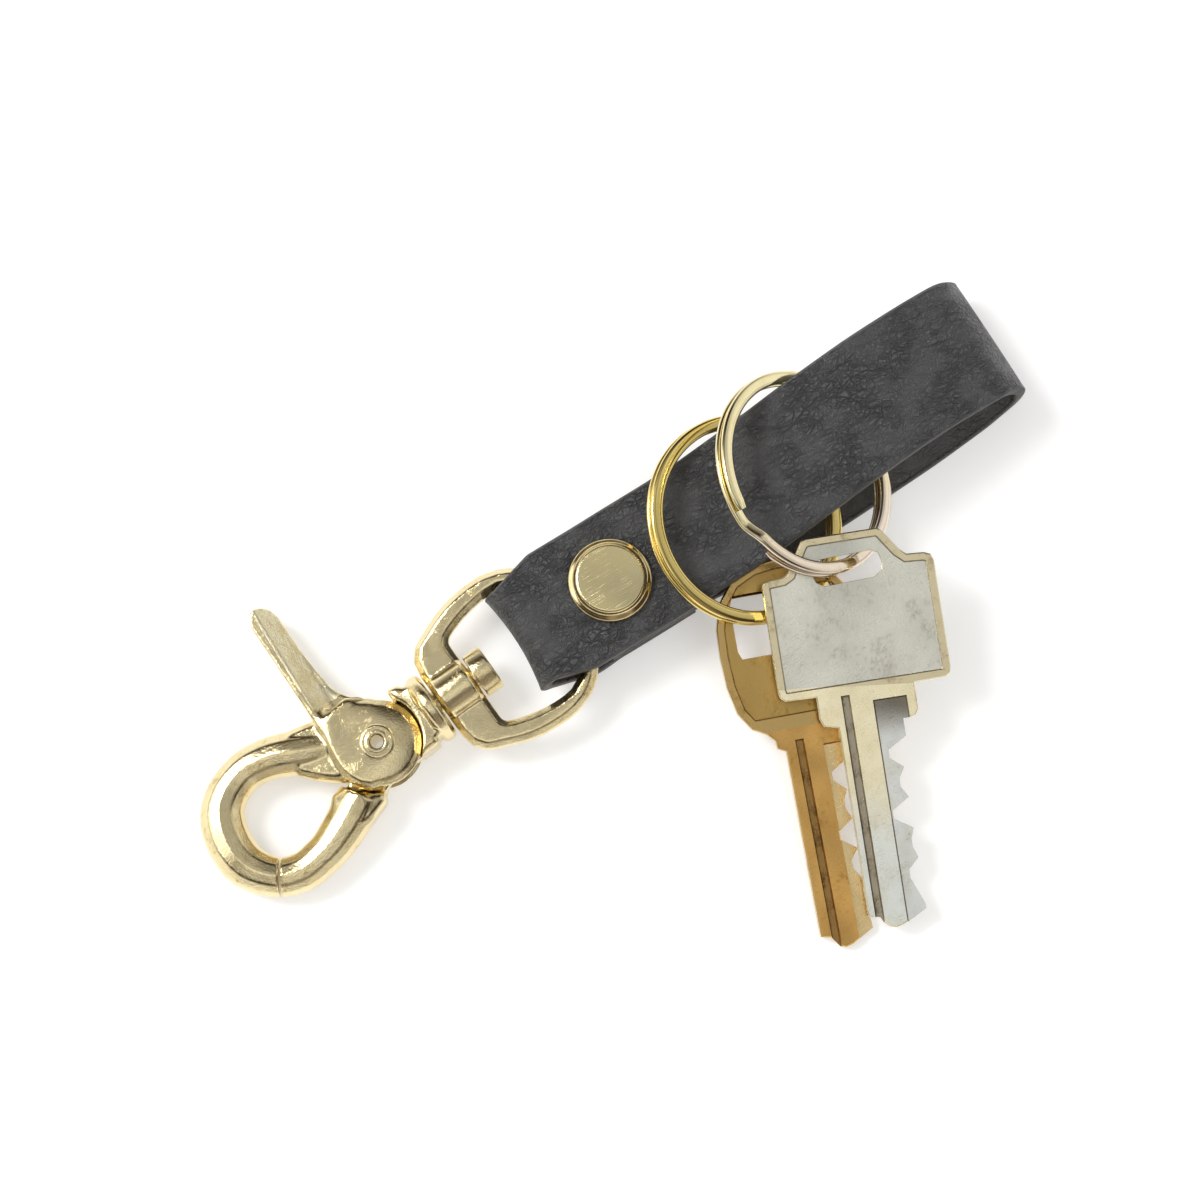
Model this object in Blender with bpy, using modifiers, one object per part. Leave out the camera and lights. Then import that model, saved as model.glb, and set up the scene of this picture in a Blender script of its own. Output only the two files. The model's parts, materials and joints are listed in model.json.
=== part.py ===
# Key belt: a looped leather strap on a swivel trigger snap, with two split rings and two keys.
# Metres, +Z up. The strap runs along X with the snap at the -X end and the keys toward -Y.

import math

import bmesh
import bpy
from mathutils import Matrix, Vector

# Fits
RUN_GAP = 0.0003
SEAT_GAP = 0.0002
CUT_OVERRUN = 0.001
WELD_DISTANCE = 0.000002
MERGE_DISTANCE = 0.00001

# Strap: one strip, folded at the eye, looped at the far end, its other end tucked in the middle
STRAP_WIDTH = 0.02
STRAP_THICKNESS = 0.002
STRAP_STEP = 0.0018
STRAP_LAYER_GAP = 0.00015
LOOP_REACH = 0.07
LOOP_HEIGHT = 0.0165
LOOP_DRIFT = 0.0024
FLAP_END_REACH = 0.009
TUCK_END_REACH = 0.0055
EYE_FOLD_REACH = 0.0173
FOLD_NARROWING = 0.0036
FOLD_NARROWING_RUN = 0.0065
FOLD_NARROWING_START = 0.0085

# Binder screw that clamps the three layers
CAP_DIAMETER = 0.0127
CAP_TOP_DIAMETER = 0.0091
CAP_HEIGHT = 0.002
CAP_STEP = 0.0009
CAP_EDGE = 0.00025
BARREL_DIAMETER = 0.005
BARREL_BORE = 0.0038
SCREW_HEAD_DIAMETER = 0.0084
SCREW_HEAD_HEIGHT = 0.001
SCREW_SHANK_DIAMETER = 0.0032
SCREW_SLOT_WIDTH = 0.0012
SCREW_SLOT_DEPTH = 0.0005

# Swivel eye
SNAP_TURN_DEGREES = 3.3
BAR_FROM_RIVET = 0.0082
BAR_DIAMETER = 0.0028
BAR_CLEARANCE = 0.0005
EYE_LENGTH = 0.0243
EYE_WIDTH = 0.0257
EYE_WINDOW_WIDTH = 0.0189
EYE_BASE_WIDTH = 0.0063
EYE_SIDE_OFFSET = 0.0006
EYE_EDGE = 0.001
EYE_BARREL_DIAMETER = 0.0074
EYE_BARREL_EDGE = 0.0007

# Swivel pin
PIN_HEAD_DIAMETER = 0.0072
PIN_HEAD_LENGTH = 0.003
PIN_SHANK_DIAMETER = 0.004
PIN_ENGAGEMENT = 0.0034
PIN_EDGE = 0.0003

# Snap body and its fixed jaw
COLLAR_DIAMETER = 0.0113
COLLAR_LENGTH = 0.0024
COLLAR_EDGE = 0.0006
PIVOT_TO_COLLAR = 0.0082
BODY_THICKNESS = 0.0072
NECK_WIDTH = 0.0114
NECK_WAIST = 0.0092
NECK_WAIST_LENGTH = 0.0008
HUB_DIAMETER = 0.0124
HUB_THICKNESS = 0.0026
JAW_REACH = 0.0312
JAW_DIAMETER = 0.0068
JAW_STEP = 0.0014
JAW_SPLIT_DEGREES = -34

# Jaw lever: cheeks, thumb lever and moving jaw
CHEEK_DIAMETER = 0.0132
CHEEK_EDGE = 0.0009
LEVER_REACH = 0.0274
LEVER_WIDTH = 0.0044
LEVER_LEAN_DEGREES = 3.2
LEVER_DEPTH = 0.0066
LEVER_STRIP = 0.0017
LEVER_RIB = 0.0018

# Pivot rivet and torsion spring
RIVET_HEAD_DIAMETER = 0.0054
RIVET_HEAD_HEIGHT = 0.0004
RIVET_SHANK_DIAMETER = 0.0032
RIVET_BORE = 0.002
SPRING_WIRE = 0.0005
SPRING_MEAN_RADIUS = 0.0025
SPRING_PITCH = 0.00095
SPRING_TURNS = 1.25
SPRING_POINTS = 30
SPRING_LEG = 0.0012
SPRING_POCKET_WALL = 0.0005
SPRING_POCKET_FLOOR = 0.0004

# Split rings
RING_DIAMETER = 0.032
RING_RADIAL_WIDTH = 0.002
RING_WIRE_THICKNESS = 0.00095
RING_COIL_GAP = 0.00045
RING_JOG_DEGREES = 16
RING_END_DEGREES = 6
RING_POINTS_PER_TURN = 60

# Keys
KEY_THICKNESS = 0.002
KEY_EDGE = 0.0002
SILVER_LENGTH = 0.0592
SILVER_HEAD_WIDTH = 0.026
BRASS_LENGTH = 0.0588
BRASS_HEAD_WIDTH = 0.0216
SILVER_BLADE_WIDTH = 0.0097
BRASS_BLADE_WIDTH = 0.0088
GROOVE_WIDTH = 0.0013
GROOVE_DEPTH = 0.0006
LEDGE_DEPTH = 0.0005
FIELD_DEPTH = 0.00015
FIELD_BORDER = 0.0011
CUT_FLAT = 0.0012

# Mid lines of the two jaws from the pivot, as shares of the hook's reach, with shares of its thickness
FIXED_JAW_SHARES = (
    (-0.212, -0.151, 1.06), (-0.30, -0.197, 1.06), (-0.395, -0.24, 1.0), (-0.48, -0.27, 0.94),
    (-0.548, -0.281, 0.91), (-0.617, -0.289, 0.90), (-0.685, -0.276, 0.90), (-0.746, -0.247, 0.91),
    (-0.803, -0.19, 0.95))
MOVING_JAW_SHARES = (
    (-0.685, -0.276, 0.90), (-0.746, -0.247, 0.91), (-0.803, -0.19, 0.95), (-0.848, -0.113, 1.02),
    (-0.861, -0.031, 1.04), (-0.851, 0.054, 1.04), (-0.828, 0.124, 1.03), (-0.787, 0.188, 1.0),
    (-0.71, 0.243, 0.95), (-0.61, 0.272, 0.93), (-0.53, 0.268, 0.95), (-0.45, 0.248, 0.98),
    (-0.37, 0.212, 1.02), (-0.30, 0.175, 0.99), (-0.24, 0.148, 0.93), (-0.18, 0.12, 0.88))
JAW_SPLIT_SHARES = (-0.752, -0.256)

model = bpy.data.collections.new("key_belt")
cutters = bpy.data.collections.new("cutters")


def clear_scene():
    for old in list(bpy.data.objects):
        bpy.data.objects.remove(old, do_unlink=True)
    bpy.context.scene.collection.children.link(model)
    bpy.context.scene.collection.children.link(cutters)


def principled(name, colour, roughness, metallic):
    material = bpy.data.materials.new(name)
    material.use_nodes = True
    shader = material.node_tree.nodes["Principled BSDF"]
    shader.inputs["Base Color"].default_value = (*colour, 1)
    shader.inputs["Roughness"].default_value = roughness
    shader.inputs["Metallic"].default_value = metallic
    return material


def frame_empty(name, parent, place):
    empty = bpy.data.objects.new(name, None)
    empty.empty_display_size = STRAP_WIDTH
    empty.location = place
    empty.parent = parent
    model.objects.link(empty)
    return empty


def new_object(name, mesh, parent=None, place=(0, 0, 0)):
    thing = bpy.data.objects.new(name, mesh)
    thing.location = place
    thing.parent = parent
    model.objects.link(thing)
    return thing


def finish(thing, material, angle=30):
    thing.data.materials.clear()
    thing.data.materials.append(material)
    thing.data.shade_smooth()
    thing.data.set_sharp_from_angle(angle=math.radians(angle))
    return thing


def as_helper(thing, name):
    thing.name = name
    thing.hide_render = True
    thing.display_type = "WIRE"
    for owner in list(thing.users_collection):
        owner.objects.unlink(thing)
    cutters.objects.link(thing)
    return thing


def boolean(target, tool, operation):
    as_helper(tool, f"{target.name}_{operation.lower()}_{len(target.modifiers)}")
    modifier = target.modifiers.new(tool.name, "BOOLEAN")
    modifier.object = tool
    modifier.operation = operation
    modifier.solver = "EXACT"


def curve_to_mesh_object(name, curve, parent=None, place=(0, 0, 0)):
    # The curve is made a mesh and its loose caps are welded on.
    source = bpy.data.objects.new(name + "_curve", curve)
    model.objects.link(source)
    bpy.context.view_layer.update()
    graph = bpy.context.evaluated_depsgraph_get()
    mesh = bpy.data.meshes.new_from_object(source.evaluated_get(graph))
    bpy.data.objects.remove(source, do_unlink=True)
    body = bmesh.new()
    body.from_mesh(mesh)
    bmesh.ops.remove_doubles(body, verts=body.verts, dist=WELD_DISTANCE)
    bmesh.ops.recalc_face_normals(body, faces=body.faces)
    body.to_mesh(mesh)
    body.free()
    return new_object(name, mesh, parent, place)


def flat_solid(name, outlines, half_thickness, parent=None, place=(0, 0, 0), edge=0):
    # Filled flat outlines, the first one outside and the rest holes, with a chamfer of the given edge.
    curve = bpy.data.curves.new(name, "CURVE")
    curve.dimensions = "2D"
    curve.fill_mode = "BOTH"
    curve.extrude = half_thickness - edge
    curve.bevel_depth = edge
    curve.bevel_resolution = 0
    curve.offset = -edge
    for outline in outlines:
        spline = curve.splines.new("POLY")
        spline.points.add(len(outline) - 1)
        for point, (x, y) in zip(spline.points, outline):
            point.co = (x, y, 0, 1)
        spline.use_cyclic_u = True
    return curve_to_mesh_object(name, curve, parent, place)


def tube(name, points, radii, depth, parent=None, place=(0, 0, 0), resolution=2, width=0, tilt=0):
    curve = bpy.data.curves.new(name, "CURVE")
    curve.dimensions = "3D"
    curve.bevel_depth = depth
    curve.bevel_resolution = resolution
    curve.extrude = width
    curve.use_fill_caps = True
    curve.twist_mode = "Z_UP"
    spline = curve.splines.new("POLY")
    spline.points.add(len(points) - 1)
    for point, place_on_path, radius in zip(spline.points, points, radii):
        point.co = (*place_on_path, 1)
        point.radius = radius
        point.tilt = tilt
    return curve_to_mesh_object(name, curve, parent, place)


def turned(name, profile, parent=None, place=(0, 0, 0), closed=False, steps=40):
    # The profile runs down the outer side, top to bottom; a closed one makes a ring.
    mesh = bpy.data.meshes.new(name)
    count = len(profile)
    edges = [(i, i + 1) for i in range(count - 1)]
    if closed:
        edges.append((count - 1, 0))
    mesh.from_pydata([(radius, 0, height) for radius, height in profile], edges, [])
    thing = new_object(name, mesh, parent, place)
    screw = thing.modifiers.new("turn", "SCREW")
    screw.steps = steps
    screw.render_steps = steps
    screw.use_merge_vertices = True
    screw.merge_threshold = MERGE_DISTANCE
    return thing


def cylinder(name, radius, depth, parent=None, place=(0, 0, 0), axis="Z", segments=40, edge=0):
    body = bmesh.new()
    bmesh.ops.create_cone(
        body, cap_ends=True, segments=segments, radius1=radius, radius2=radius, depth=depth)
    if edge:
        rims = [e for e in body.edges if abs(e.verts[0].co.z - e.verts[1].co.z) < edge]
        bmesh.ops.bevel(body, geom=rims, offset=edge, segments=1, affect="EDGES", profile=0.5)
    if axis == "X":
        bmesh.ops.rotate(body, verts=body.verts, matrix=Matrix.Rotation(math.pi / 2, 3, "Y"))
    mesh = bpy.data.meshes.new(name)
    body.to_mesh(mesh)
    body.free()
    return new_object(name, mesh, parent, place)


def box(name, size, parent=None, place=(0, 0, 0), turn=0):
    body = bmesh.new()
    bmesh.ops.create_cube(body, size=1)
    bmesh.ops.scale(body, verts=body.verts, vec=size)
    mesh = bpy.data.meshes.new(name)
    body.to_mesh(mesh)
    body.free()
    thing = new_object(name, mesh, parent, place)
    thing.rotation_euler = (0, 0, turn)
    return thing


def arc(centre, radius, start, end, count):
    # Points on an arc in plan, angles in degrees.
    spread = [math.radians(start + (end - start) * i / count) for i in range(count + 1)]
    return [(centre[0] + radius * math.cos(a), centre[1] + radius * math.sin(a)) for a in spread]


def smooth_path(points, step, closed=False):
    # A smooth curve through the points, sampled about every step.
    count = len(points)
    vectors = [Vector(p) for p in points]
    spans = count if closed else count - 1
    samples = []
    for i in range(spans):
        if closed:
            a, b, c, d = (vectors[(i + k) % count] for k in (-1, 0, 1, 2))
        else:
            a, b, c, d = (vectors[min(max(i + k, 0), count - 1)] for k in (-1, 0, 1, 2))
        pieces = max(1, round((c - b).length / step))
        for j in range(pieces):
            t = j / pieces
            samples.append(0.5 * (
                2 * b + (c - a) * t + (2 * a - 5 * b + 4 * c - d) * t ** 2
                + (3 * b - a - 3 * c + d) * t ** 3))
    if not closed:
        samples.append(vectors[-1])
    return samples


def scaled(shares, length, width):
    return [(x * length, y * width) for x, y in shares]


def snap_lean():
    # The snap lies on its collar and on the far end of its jaw, so its axis rises a little toward the eye.
    jaw_low = JAW_DIAMETER / 2 * MOVING_JAW_SHARES[4][2]
    run = PIVOT_TO_COLLAR - MOVING_JAW_SHARES[4][0] * JAW_REACH
    return math.asin((COLLAR_DIAMETER / 2 - jaw_low) / run)


def bar_height():
    lean = snap_lean()
    along = COLLAR_LENGTH + RUN_GAP + EYE_LENGTH - BAR_DIAMETER / 2
    return COLLAR_DIAMETER / 2 * math.cos(lean) + along * math.sin(lean)


def layer_heights():
    # Mid heights of the flap, the tucked end and the top layer, which runs level off the bar.
    pitch = STRAP_THICKNESS + STRAP_LAYER_GAP
    top = bar_height() + fold_radius()
    return top - 2 * pitch, top - pitch, top


def fold_radius():
    return BAR_DIAMETER / 2 + BAR_CLEARANCE + STRAP_THICKNESS / 2


def screw_base():
    return layer_heights()[0] - STRAP_THICKNESS / 2 - SEAT_GAP - SCREW_HEAD_HEIGHT


# The top layer's mid line from the clamp to the far fold, and the far fold round to the floor
TOP_LINE_SHARES = (
    (0.10, 0.0, 0.0), (0.18, 0.0, 0.09), (0.27, 0.02, 0.27), (0.36, 0.10, 0.52), (0.45, 0.25, 0.78),
    (0.535, 0.42, 0.95), (0.62, 0.60, 1.0), (0.71, 0.78, 0.95), (0.80, 0.91, 0.80), (0.875, 0.98, 0.60))
FAR_FOLD_SHARES = (
    (0.935, 1.0, 0.74), (0.972, 0.98, 0.52), (0.985, 0.92, 0.34), (0.972, 0.84, 0.19), (0.935, 0.72, 0.105))
FLOOR_LINE_SHARES = ((0.87, 0.52), (0.70, 0.22), (0.52, 0.04), (0.38, 0.0))
RISE_LINE_SHARES = ((0.70, 0.12), (0.42, 0.50), (0.16, 0.93))
FLAP_UNDER_SHARE = 0.85


def strap_path():
    flap, tuck, top = layer_heights()
    half = STRAP_THICKNESS / 2
    # From the flap's end, under the bar, round the fold and level back over the bar
    radius = fold_radius()
    under = bar_height() - radius
    bar_x = -BAR_FROM_RIVET
    fold_x = radius + half - EYE_FOLD_REACH
    head_edge = -SCREW_HEAD_DIAMETER / 2
    points = [(FLAP_END_REACH, 0, flap), (FLAP_END_REACH / 2, 0, flap), (0, 0, flap)]
    points += [(head_edge / 2, 0, flap), (head_edge, 0, flap)]
    points += [(FLAP_UNDER_SHARE * bar_x, 0, under), (bar_x, 0, under)]
    points += [(x, 0, z) for x, z in arc((fold_x, bar_height()), radius, -90, -270, 6)]
    points += [(bar_x, 0, top), (bar_x / 2, 0, top), (0, 0, top)]
    # Over the keys' side of the loop, round the far fold and back along the floor
    rise = LOOP_HEIGHT - half - top
    points += [(x * LOOP_REACH, y * LOOP_DRIFT, top + z * rise) for x, y, z in TOP_LINE_SHARES]
    points += [(x * LOOP_REACH, y * LOOP_DRIFT, z * LOOP_HEIGHT) for x, y, z in FAR_FOLD_SHARES]
    points += [(x * LOOP_REACH, y * LOOP_DRIFT, half) for x, y in FLOOR_LINE_SHARES]
    # Up over the flap's end and into the clamp
    ramp = FLOOR_LINE_SHARES[-1][0] * LOOP_REACH - FLAP_END_REACH
    points += [(FLAP_END_REACH + x * ramp, 0, half + z * (tuck - half)) for x, z in RISE_LINE_SHARES]
    points += [(FLAP_END_REACH, 0, tuck), (FLAP_END_REACH / 2, 0, tuck), (0, 0, tuck)]
    points += [(-TUCK_END_REACH, 0, tuck)]
    return smooth_path(points, STRAP_STEP)


def strap_half_width(x):
    # The strap is drawn in where it folds round the bar.
    reach = (-x - FOLD_NARROWING_START) / FOLD_NARROWING_RUN
    share = min(max(reach, 0), 1)
    return (STRAP_WIDTH - FOLD_NARROWING * share) / 2


def make_strap(parent, leather):
    path = strap_path()
    spans = len(path) - 1
    body = bmesh.new()
    bmesh.ops.create_grid(body, x_segments=spans, y_segments=2, size=0.5)
    for vertex in body.verts:
        station = path[round((vertex.co.x + 0.5) * spans)]
        side = vertex.co.y * 2
        vertex.co = (station.x, station.y + side * strap_half_width(station.x), station.z)
    mesh = bpy.data.meshes.new("strap")
    body.to_mesh(mesh)
    body.free()
    strap = new_object("strap", mesh, parent)
    finish(strap, leather)
    shell = strap.modifiers.new("leather", "SOLIDIFY")
    shell.thickness = STRAP_THICKNESS
    shell.offset = 0
    shell.use_even_offset = True
    top = layer_heights()[2] + STRAP_THICKNESS
    hole = cylinder("hole", BARREL_DIAMETER / 2 + SEAT_GAP, top + CUT_OVERRUN, parent, (0, 0, top / 2))
    boolean(strap, hole, "DIFFERENCE")
    return strap


def make_binder_post(parent, brass):
    base = layer_heights()[2] + STRAP_THICKNESS / 2 + SEAT_GAP
    top = base + CAP_HEIGHT
    rim = top - CAP_STEP
    barrel_end = screw_base() + SCREW_HEAD_HEIGHT + SEAT_GAP
    bore_top = base - CAP_EDGE
    outer = CAP_DIAMETER / 2
    inner = CAP_TOP_DIAMETER / 2
    profile = (
        (0, top), (inner - CAP_EDGE, top), (inner, top - CAP_EDGE), (inner + CAP_EDGE / 2, rim),
        (outer - 2 * CAP_EDGE, rim - CAP_EDGE), (outer, rim - 2 * CAP_EDGE), (outer, base + CAP_EDGE),
        (outer - CAP_EDGE, base), (BARREL_DIAMETER / 2, base), (BARREL_DIAMETER / 2, barrel_end),
        (BARREL_BORE / 2, barrel_end), (BARREL_BORE / 2, bore_top), (0, bore_top))
    return finish(turned("binder_post", profile, parent, steps=48), brass)


def make_binder_screw(parent, brass):
    bore_top = layer_heights()[2] + STRAP_THICKNESS / 2 + SEAT_GAP - CAP_EDGE
    head_top = screw_base() + SCREW_HEAD_HEIGHT
    shank = SCREW_SHANK_DIAMETER / 2
    head = SCREW_HEAD_DIAMETER / 2
    base = screw_base()
    profile = (
        (0, bore_top - RUN_GAP), (shank, bore_top - RUN_GAP), (shank, head_top),
        (head - CAP_EDGE, head_top), (head, head_top - CAP_EDGE), (head, base + CAP_EDGE),
        (head - CAP_EDGE, base), (0, base))
    screw = finish(turned("binder_screw", profile, parent), brass)
    size = (SCREW_HEAD_DIAMETER + CUT_OVERRUN, SCREW_SLOT_WIDTH, 2 * SCREW_SLOT_DEPTH)
    boolean(screw, box("slot", size, parent, (0, 0, base)), "DIFFERENCE")
    return screw


# Half outlines of the eye from its base to its bar, as shares of its length and half width
EYE_OUTER_SHARES = (
    (0.0, 0.43), (0.016, 0.6), (0.07, 0.735), (0.177, 0.83), (0.296, 0.92), (0.41, 0.975),
    (0.55, 1.0), (0.67, 0.988), (0.775, 0.93), (0.88, 0.80), (0.957, 0.61), (0.995, 0.40))
EYE_WINDOW_SHARES = (
    (0.0, 0.4), (0.0, 0.74), (0.035, 0.81), (0.1, 0.855), (0.25, 0.93), (0.50, 1.0), (0.72, 0.99),
    (0.88, 0.87), (0.97, 0.66), (1.0, 0.40))


def mirrored_loop(half_outline):
    return list(half_outline) + [(x, -y) for x, y in reversed(half_outline)]


def make_swivel_eye(parent, gold):
    # Local X runs from the base's outer face to the bar; the eye lies flat at the snap's mid height.
    window_length = EYE_LENGTH - EYE_BASE_WIDTH - BAR_DIAMETER
    outer = mirrored_loop(scaled(EYE_OUTER_SHARES, EYE_LENGTH, EYE_WIDTH / 2))
    window = [
        (EYE_BASE_WIDTH + x, y)
        for x, y in mirrored_loop(scaled(EYE_WINDOW_SHARES, window_length, EYE_WINDOW_WIDTH / 2))]
    shift = BAR_DIAMETER / 2 - EYE_LENGTH
    outlines = []
    for outline in (outer, window):
        smooth = smooth_path([(x + shift, y - EYE_SIDE_OFFSET, 0) for x, y in outline], STRAP_STEP, True)
        outlines.append([(p.x, p.y) for p in smooth])
    eye = flat_solid("swivel_eye", outlines, BAR_DIAMETER / 2, parent, edge=EYE_EDGE)
    finish(eye, gold)
    barrel = cylinder(
        "barrel", EYE_BARREL_DIAMETER / 2, EYE_BASE_WIDTH, parent, (shift + EYE_BASE_WIDTH / 2, 0, 0),
        axis="X", edge=EYE_BARREL_EDGE)
    boolean(eye, barrel, "UNION")
    bore = cylinder(
        "bore", PIN_SHANK_DIAMETER / 2 + RUN_GAP, EYE_BASE_WIDTH + 2 * CUT_OVERRUN, parent,
        (shift + EYE_BASE_WIDTH / 2, 0, 0), axis="X")
    boolean(eye, bore, "DIFFERENCE")
    return eye


def eye_base_x():
    # The eye's outer base face, measured from the pivot along the snap's axis.
    return PIVOT_TO_COLLAR + COLLAR_LENGTH + RUN_GAP


def make_swivel_pin(parent, gold):
    head_start = eye_base_x() + EYE_BASE_WIDTH + RUN_GAP
    head = PIN_HEAD_DIAMETER / 2
    shank = PIN_SHANK_DIAMETER / 2
    tail = PIVOT_TO_COLLAR + COLLAR_LENGTH - PIN_ENGAGEMENT
    end = head_start + PIN_HEAD_LENGTH
    profile = (
        (0, end), (head - PIN_EDGE, end), (head, end - PIN_EDGE), (head, head_start),
        (shank, head_start), (shank, tail + PIN_EDGE), (shank - PIN_EDGE, tail), (0, tail))
    pin = turned("swivel_pin", profile, parent)
    pin.rotation_euler = (0, math.pi / 2, 0)
    return finish(pin, gold)


CHEEK_TAIL_SHARES = (
    (-0.70, -0.80), (-0.90, -0.60), (-1.03, -0.36), (-1.09, -0.10), (-1.09, 0.18), (-1.05, 0.50),
    (-0.97, 0.90), (-0.90, 1.30), (0.0, 1.30), (0.12, 1.18), (0.27, 1.06), (0.45, 0.94))
CHEEK_ARC_DEGREES = (58, -122)
# Where the fixed jaw widens into the hub and the moving jaw into the cheeks, and their thickness
ARM_ROOT_SHARES = (
    (-1.52, -0.33), (-1.84, -0.66), (-1.96, -0.98), (-1.67, -1.46), (-1.12, -1.38), (-0.58, -1.20),
    (-0.50, -0.98), (-0.98, -0.60), (-1.22, -0.40))
JAW_ROOT_SHARES = (
    (-0.80, 1.25), (-1.12, 1.34), (-1.47, 1.42), (-1.80, 1.44), (-1.90, 0.46), (-1.60, 0.13),
    (-1.42, -0.05), (-1.28, -0.16), (-1.06, -0.36), (-0.76, -0.53), (-0.52, -0.47), (-0.48, 0.10),
    (-0.60, 0.80))
JAW_ROOT_SHARE = 0.74
WEB_SHARES = ((0.35, -0.2), (-0.95, -0.3), (-1.45, -0.5), (-0.68, -1.16), (-0.2, -0.9))
SHOULDER_SHARE = 0.41


def jaw_tube(name, shares, parent):
    # The third coordinate of the smooth path is the tube's radius.
    radius = JAW_DIAMETER / 2
    path = smooth_path([(x * JAW_REACH, y * JAW_REACH, r * radius) for x, y, r in shares], JAW_STEP)
    points = [(p.x, p.y, 0) for p in path]
    return tube(name, points, [p.z / radius for p in path], radius, parent, resolution=4)


def jaw_root(name, shares, parent):
    # The shares are of the cheek's radius.
    plan = scaled(shares, CHEEK_DIAMETER / 2, CHEEK_DIAMETER / 2)
    return flat_solid(name, [plan], JAW_ROOT_SHARE * BODY_THICKNESS / 2, parent, edge=CHEEK_EDGE)


def jaw_split(parent, side):
    # The block beyond the plane in which the two jaws meet, on the moving jaw's side or the fixed one's.
    length = JAW_DIAMETER
    turn = math.radians(JAW_SPLIT_DEGREES)
    offset = side * (length - RUN_GAP) / 2
    x = JAW_SPLIT_SHARES[0] * JAW_REACH + offset * math.cos(turn)
    y = JAW_SPLIT_SHARES[1] * JAW_REACH + offset * math.sin(turn)
    return box("split", (length, 2 * JAW_DIAMETER, 2 * JAW_DIAMETER), parent, (x, y, 0), turn)


def cheek_outline(margin=0):
    radius = CHEEK_DIAMETER / 2
    tail = [(x * radius, y * radius) for x, y in CHEEK_TAIL_SHARES]
    rounded = arc((0, 0), radius, *CHEEK_ARC_DEGREES, 22)
    outline = rounded + tail
    if margin:
        outline = [tuple(Vector(p) * (1 + margin / Vector(p).length)) for p in outline]
    return outline


def make_snap_body(parent, gold):
    half_hub = HUB_THICKNESS / 2
    body = cylinder("snap_body", HUB_DIAMETER / 2, HUB_THICKNESS, parent)
    finish(body, gold)
    web = flat_solid("web", [scaled(WEB_SHARES, HUB_DIAMETER / 2, HUB_DIAMETER / 2)], half_hub, parent)
    boolean(body, web, "UNION")
    neck_end = PIVOT_TO_COLLAR + COLLAR_LENGTH / 2
    waist_start = PIVOT_TO_COLLAR - NECK_WAIST_LENGTH
    waist_mid = PIVOT_TO_COLLAR - NECK_WAIST_LENGTH / 2
    shoulder = CHEEK_DIAMETER * SHOULDER_SHARE
    outer = NECK_WIDTH / 2
    inner = NECK_WAIST / 2
    neck = [
        (shoulder, outer), (waist_start, outer - COLLAR_EDGE / 2), (waist_mid, inner), (neck_end, inner),
        (neck_end, -inner), (waist_mid, -inner), (waist_start, COLLAR_EDGE / 2 - outer), (0, -outer),
        (0, 0), (shoulder, 0)]
    boolean(body, flat_solid("neck", [neck], BODY_THICKNESS / 2, parent, edge=COLLAR_EDGE), "UNION")
    boolean(body, jaw_tube("fixed_jaw", FIXED_JAW_SHARES, parent), "UNION")
    boolean(body, jaw_root("arm_root", ARM_ROOT_SHARES, parent), "UNION")
    boolean(body, jaw_split(parent, -1), "DIFFERENCE")
    # Room for the two cheeks, above and below the hub
    slab = BODY_THICKNESS
    for side in (1, -1):
        place = (0, 0, side * (half_hub + slab / 2))
        boolean(body, flat_solid("room", [cheek_outline(RUN_GAP)], slab / 2, parent, place), "DIFFERENCE")
        boolean(body, cylinder("sweep", CHEEK_DIAMETER / 2 + RUN_GAP, slab, parent, place), "DIFFERENCE")
    collar_mid = PIVOT_TO_COLLAR + COLLAR_LENGTH / 2
    collar = cylinder(
        "collar", COLLAR_DIAMETER / 2, COLLAR_LENGTH, parent, (collar_mid, 0, 0), axis="X",
        edge=COLLAR_EDGE)
    boolean(body, collar, "UNION")
    # Bores for the swivel pin and the rivet, and the spring's pocket with its leg slot
    pin_tail = PIVOT_TO_COLLAR + COLLAR_LENGTH - PIN_ENGAGEMENT - SEAT_GAP
    depth = PIN_ENGAGEMENT + SEAT_GAP + CUT_OVERRUN
    pin_hole = cylinder(
        "pin_hole", PIN_SHANK_DIAMETER / 2 + SEAT_GAP, depth, parent, (pin_tail + depth / 2, 0, 0),
        axis="X")
    boolean(body, pin_hole, "DIFFERENCE")
    bore = cylinder("bore", RIVET_SHANK_DIAMETER / 2 + SEAT_GAP, BODY_THICKNESS, parent)
    boolean(body, bore, "DIFFERENCE")
    floor = SPRING_POCKET_FLOOR - half_hub
    pocket_radius = SPRING_MEAN_RADIUS + SPRING_WIRE / 2 + SPRING_POCKET_WALL
    pocket = cylinder("pocket", pocket_radius, slab, parent, (0, 0, floor + slab / 2))
    boolean(body, pocket, "DIFFERENCE")
    slot_size = (SPRING_LEG + pocket_radius, 2 * SPRING_WIRE + SPRING_POCKET_WALL, slab)
    slot = box("leg_slot", slot_size, parent, (slot_size[0] / 2, -SPRING_MEAN_RADIUS, floor + slab / 2))
    boolean(body, slot, "DIFFERENCE")
    return body


# The thumb lever's plan, as shares of the cheek's radius and of the lever's reach
LEVER_PLAN_SHARES = (
    (-0.924, 0.222), (-0.91, 0.33), (-0.875, 0.60), (-0.845, 0.915), (-0.80, 0.962), (-0.70, 0.99),
    (-0.55, 1.0), (-0.39, 0.988), (-0.26, 0.955), (-0.20, 0.905), (-0.225, 0.677), (-0.19, 0.50),
    (-0.135, 0.41), (-0.04, 0.355), (0.08, 0.31), (0.22, 0.285), (0.34, 0.255), (0.42, 0.223))


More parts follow.
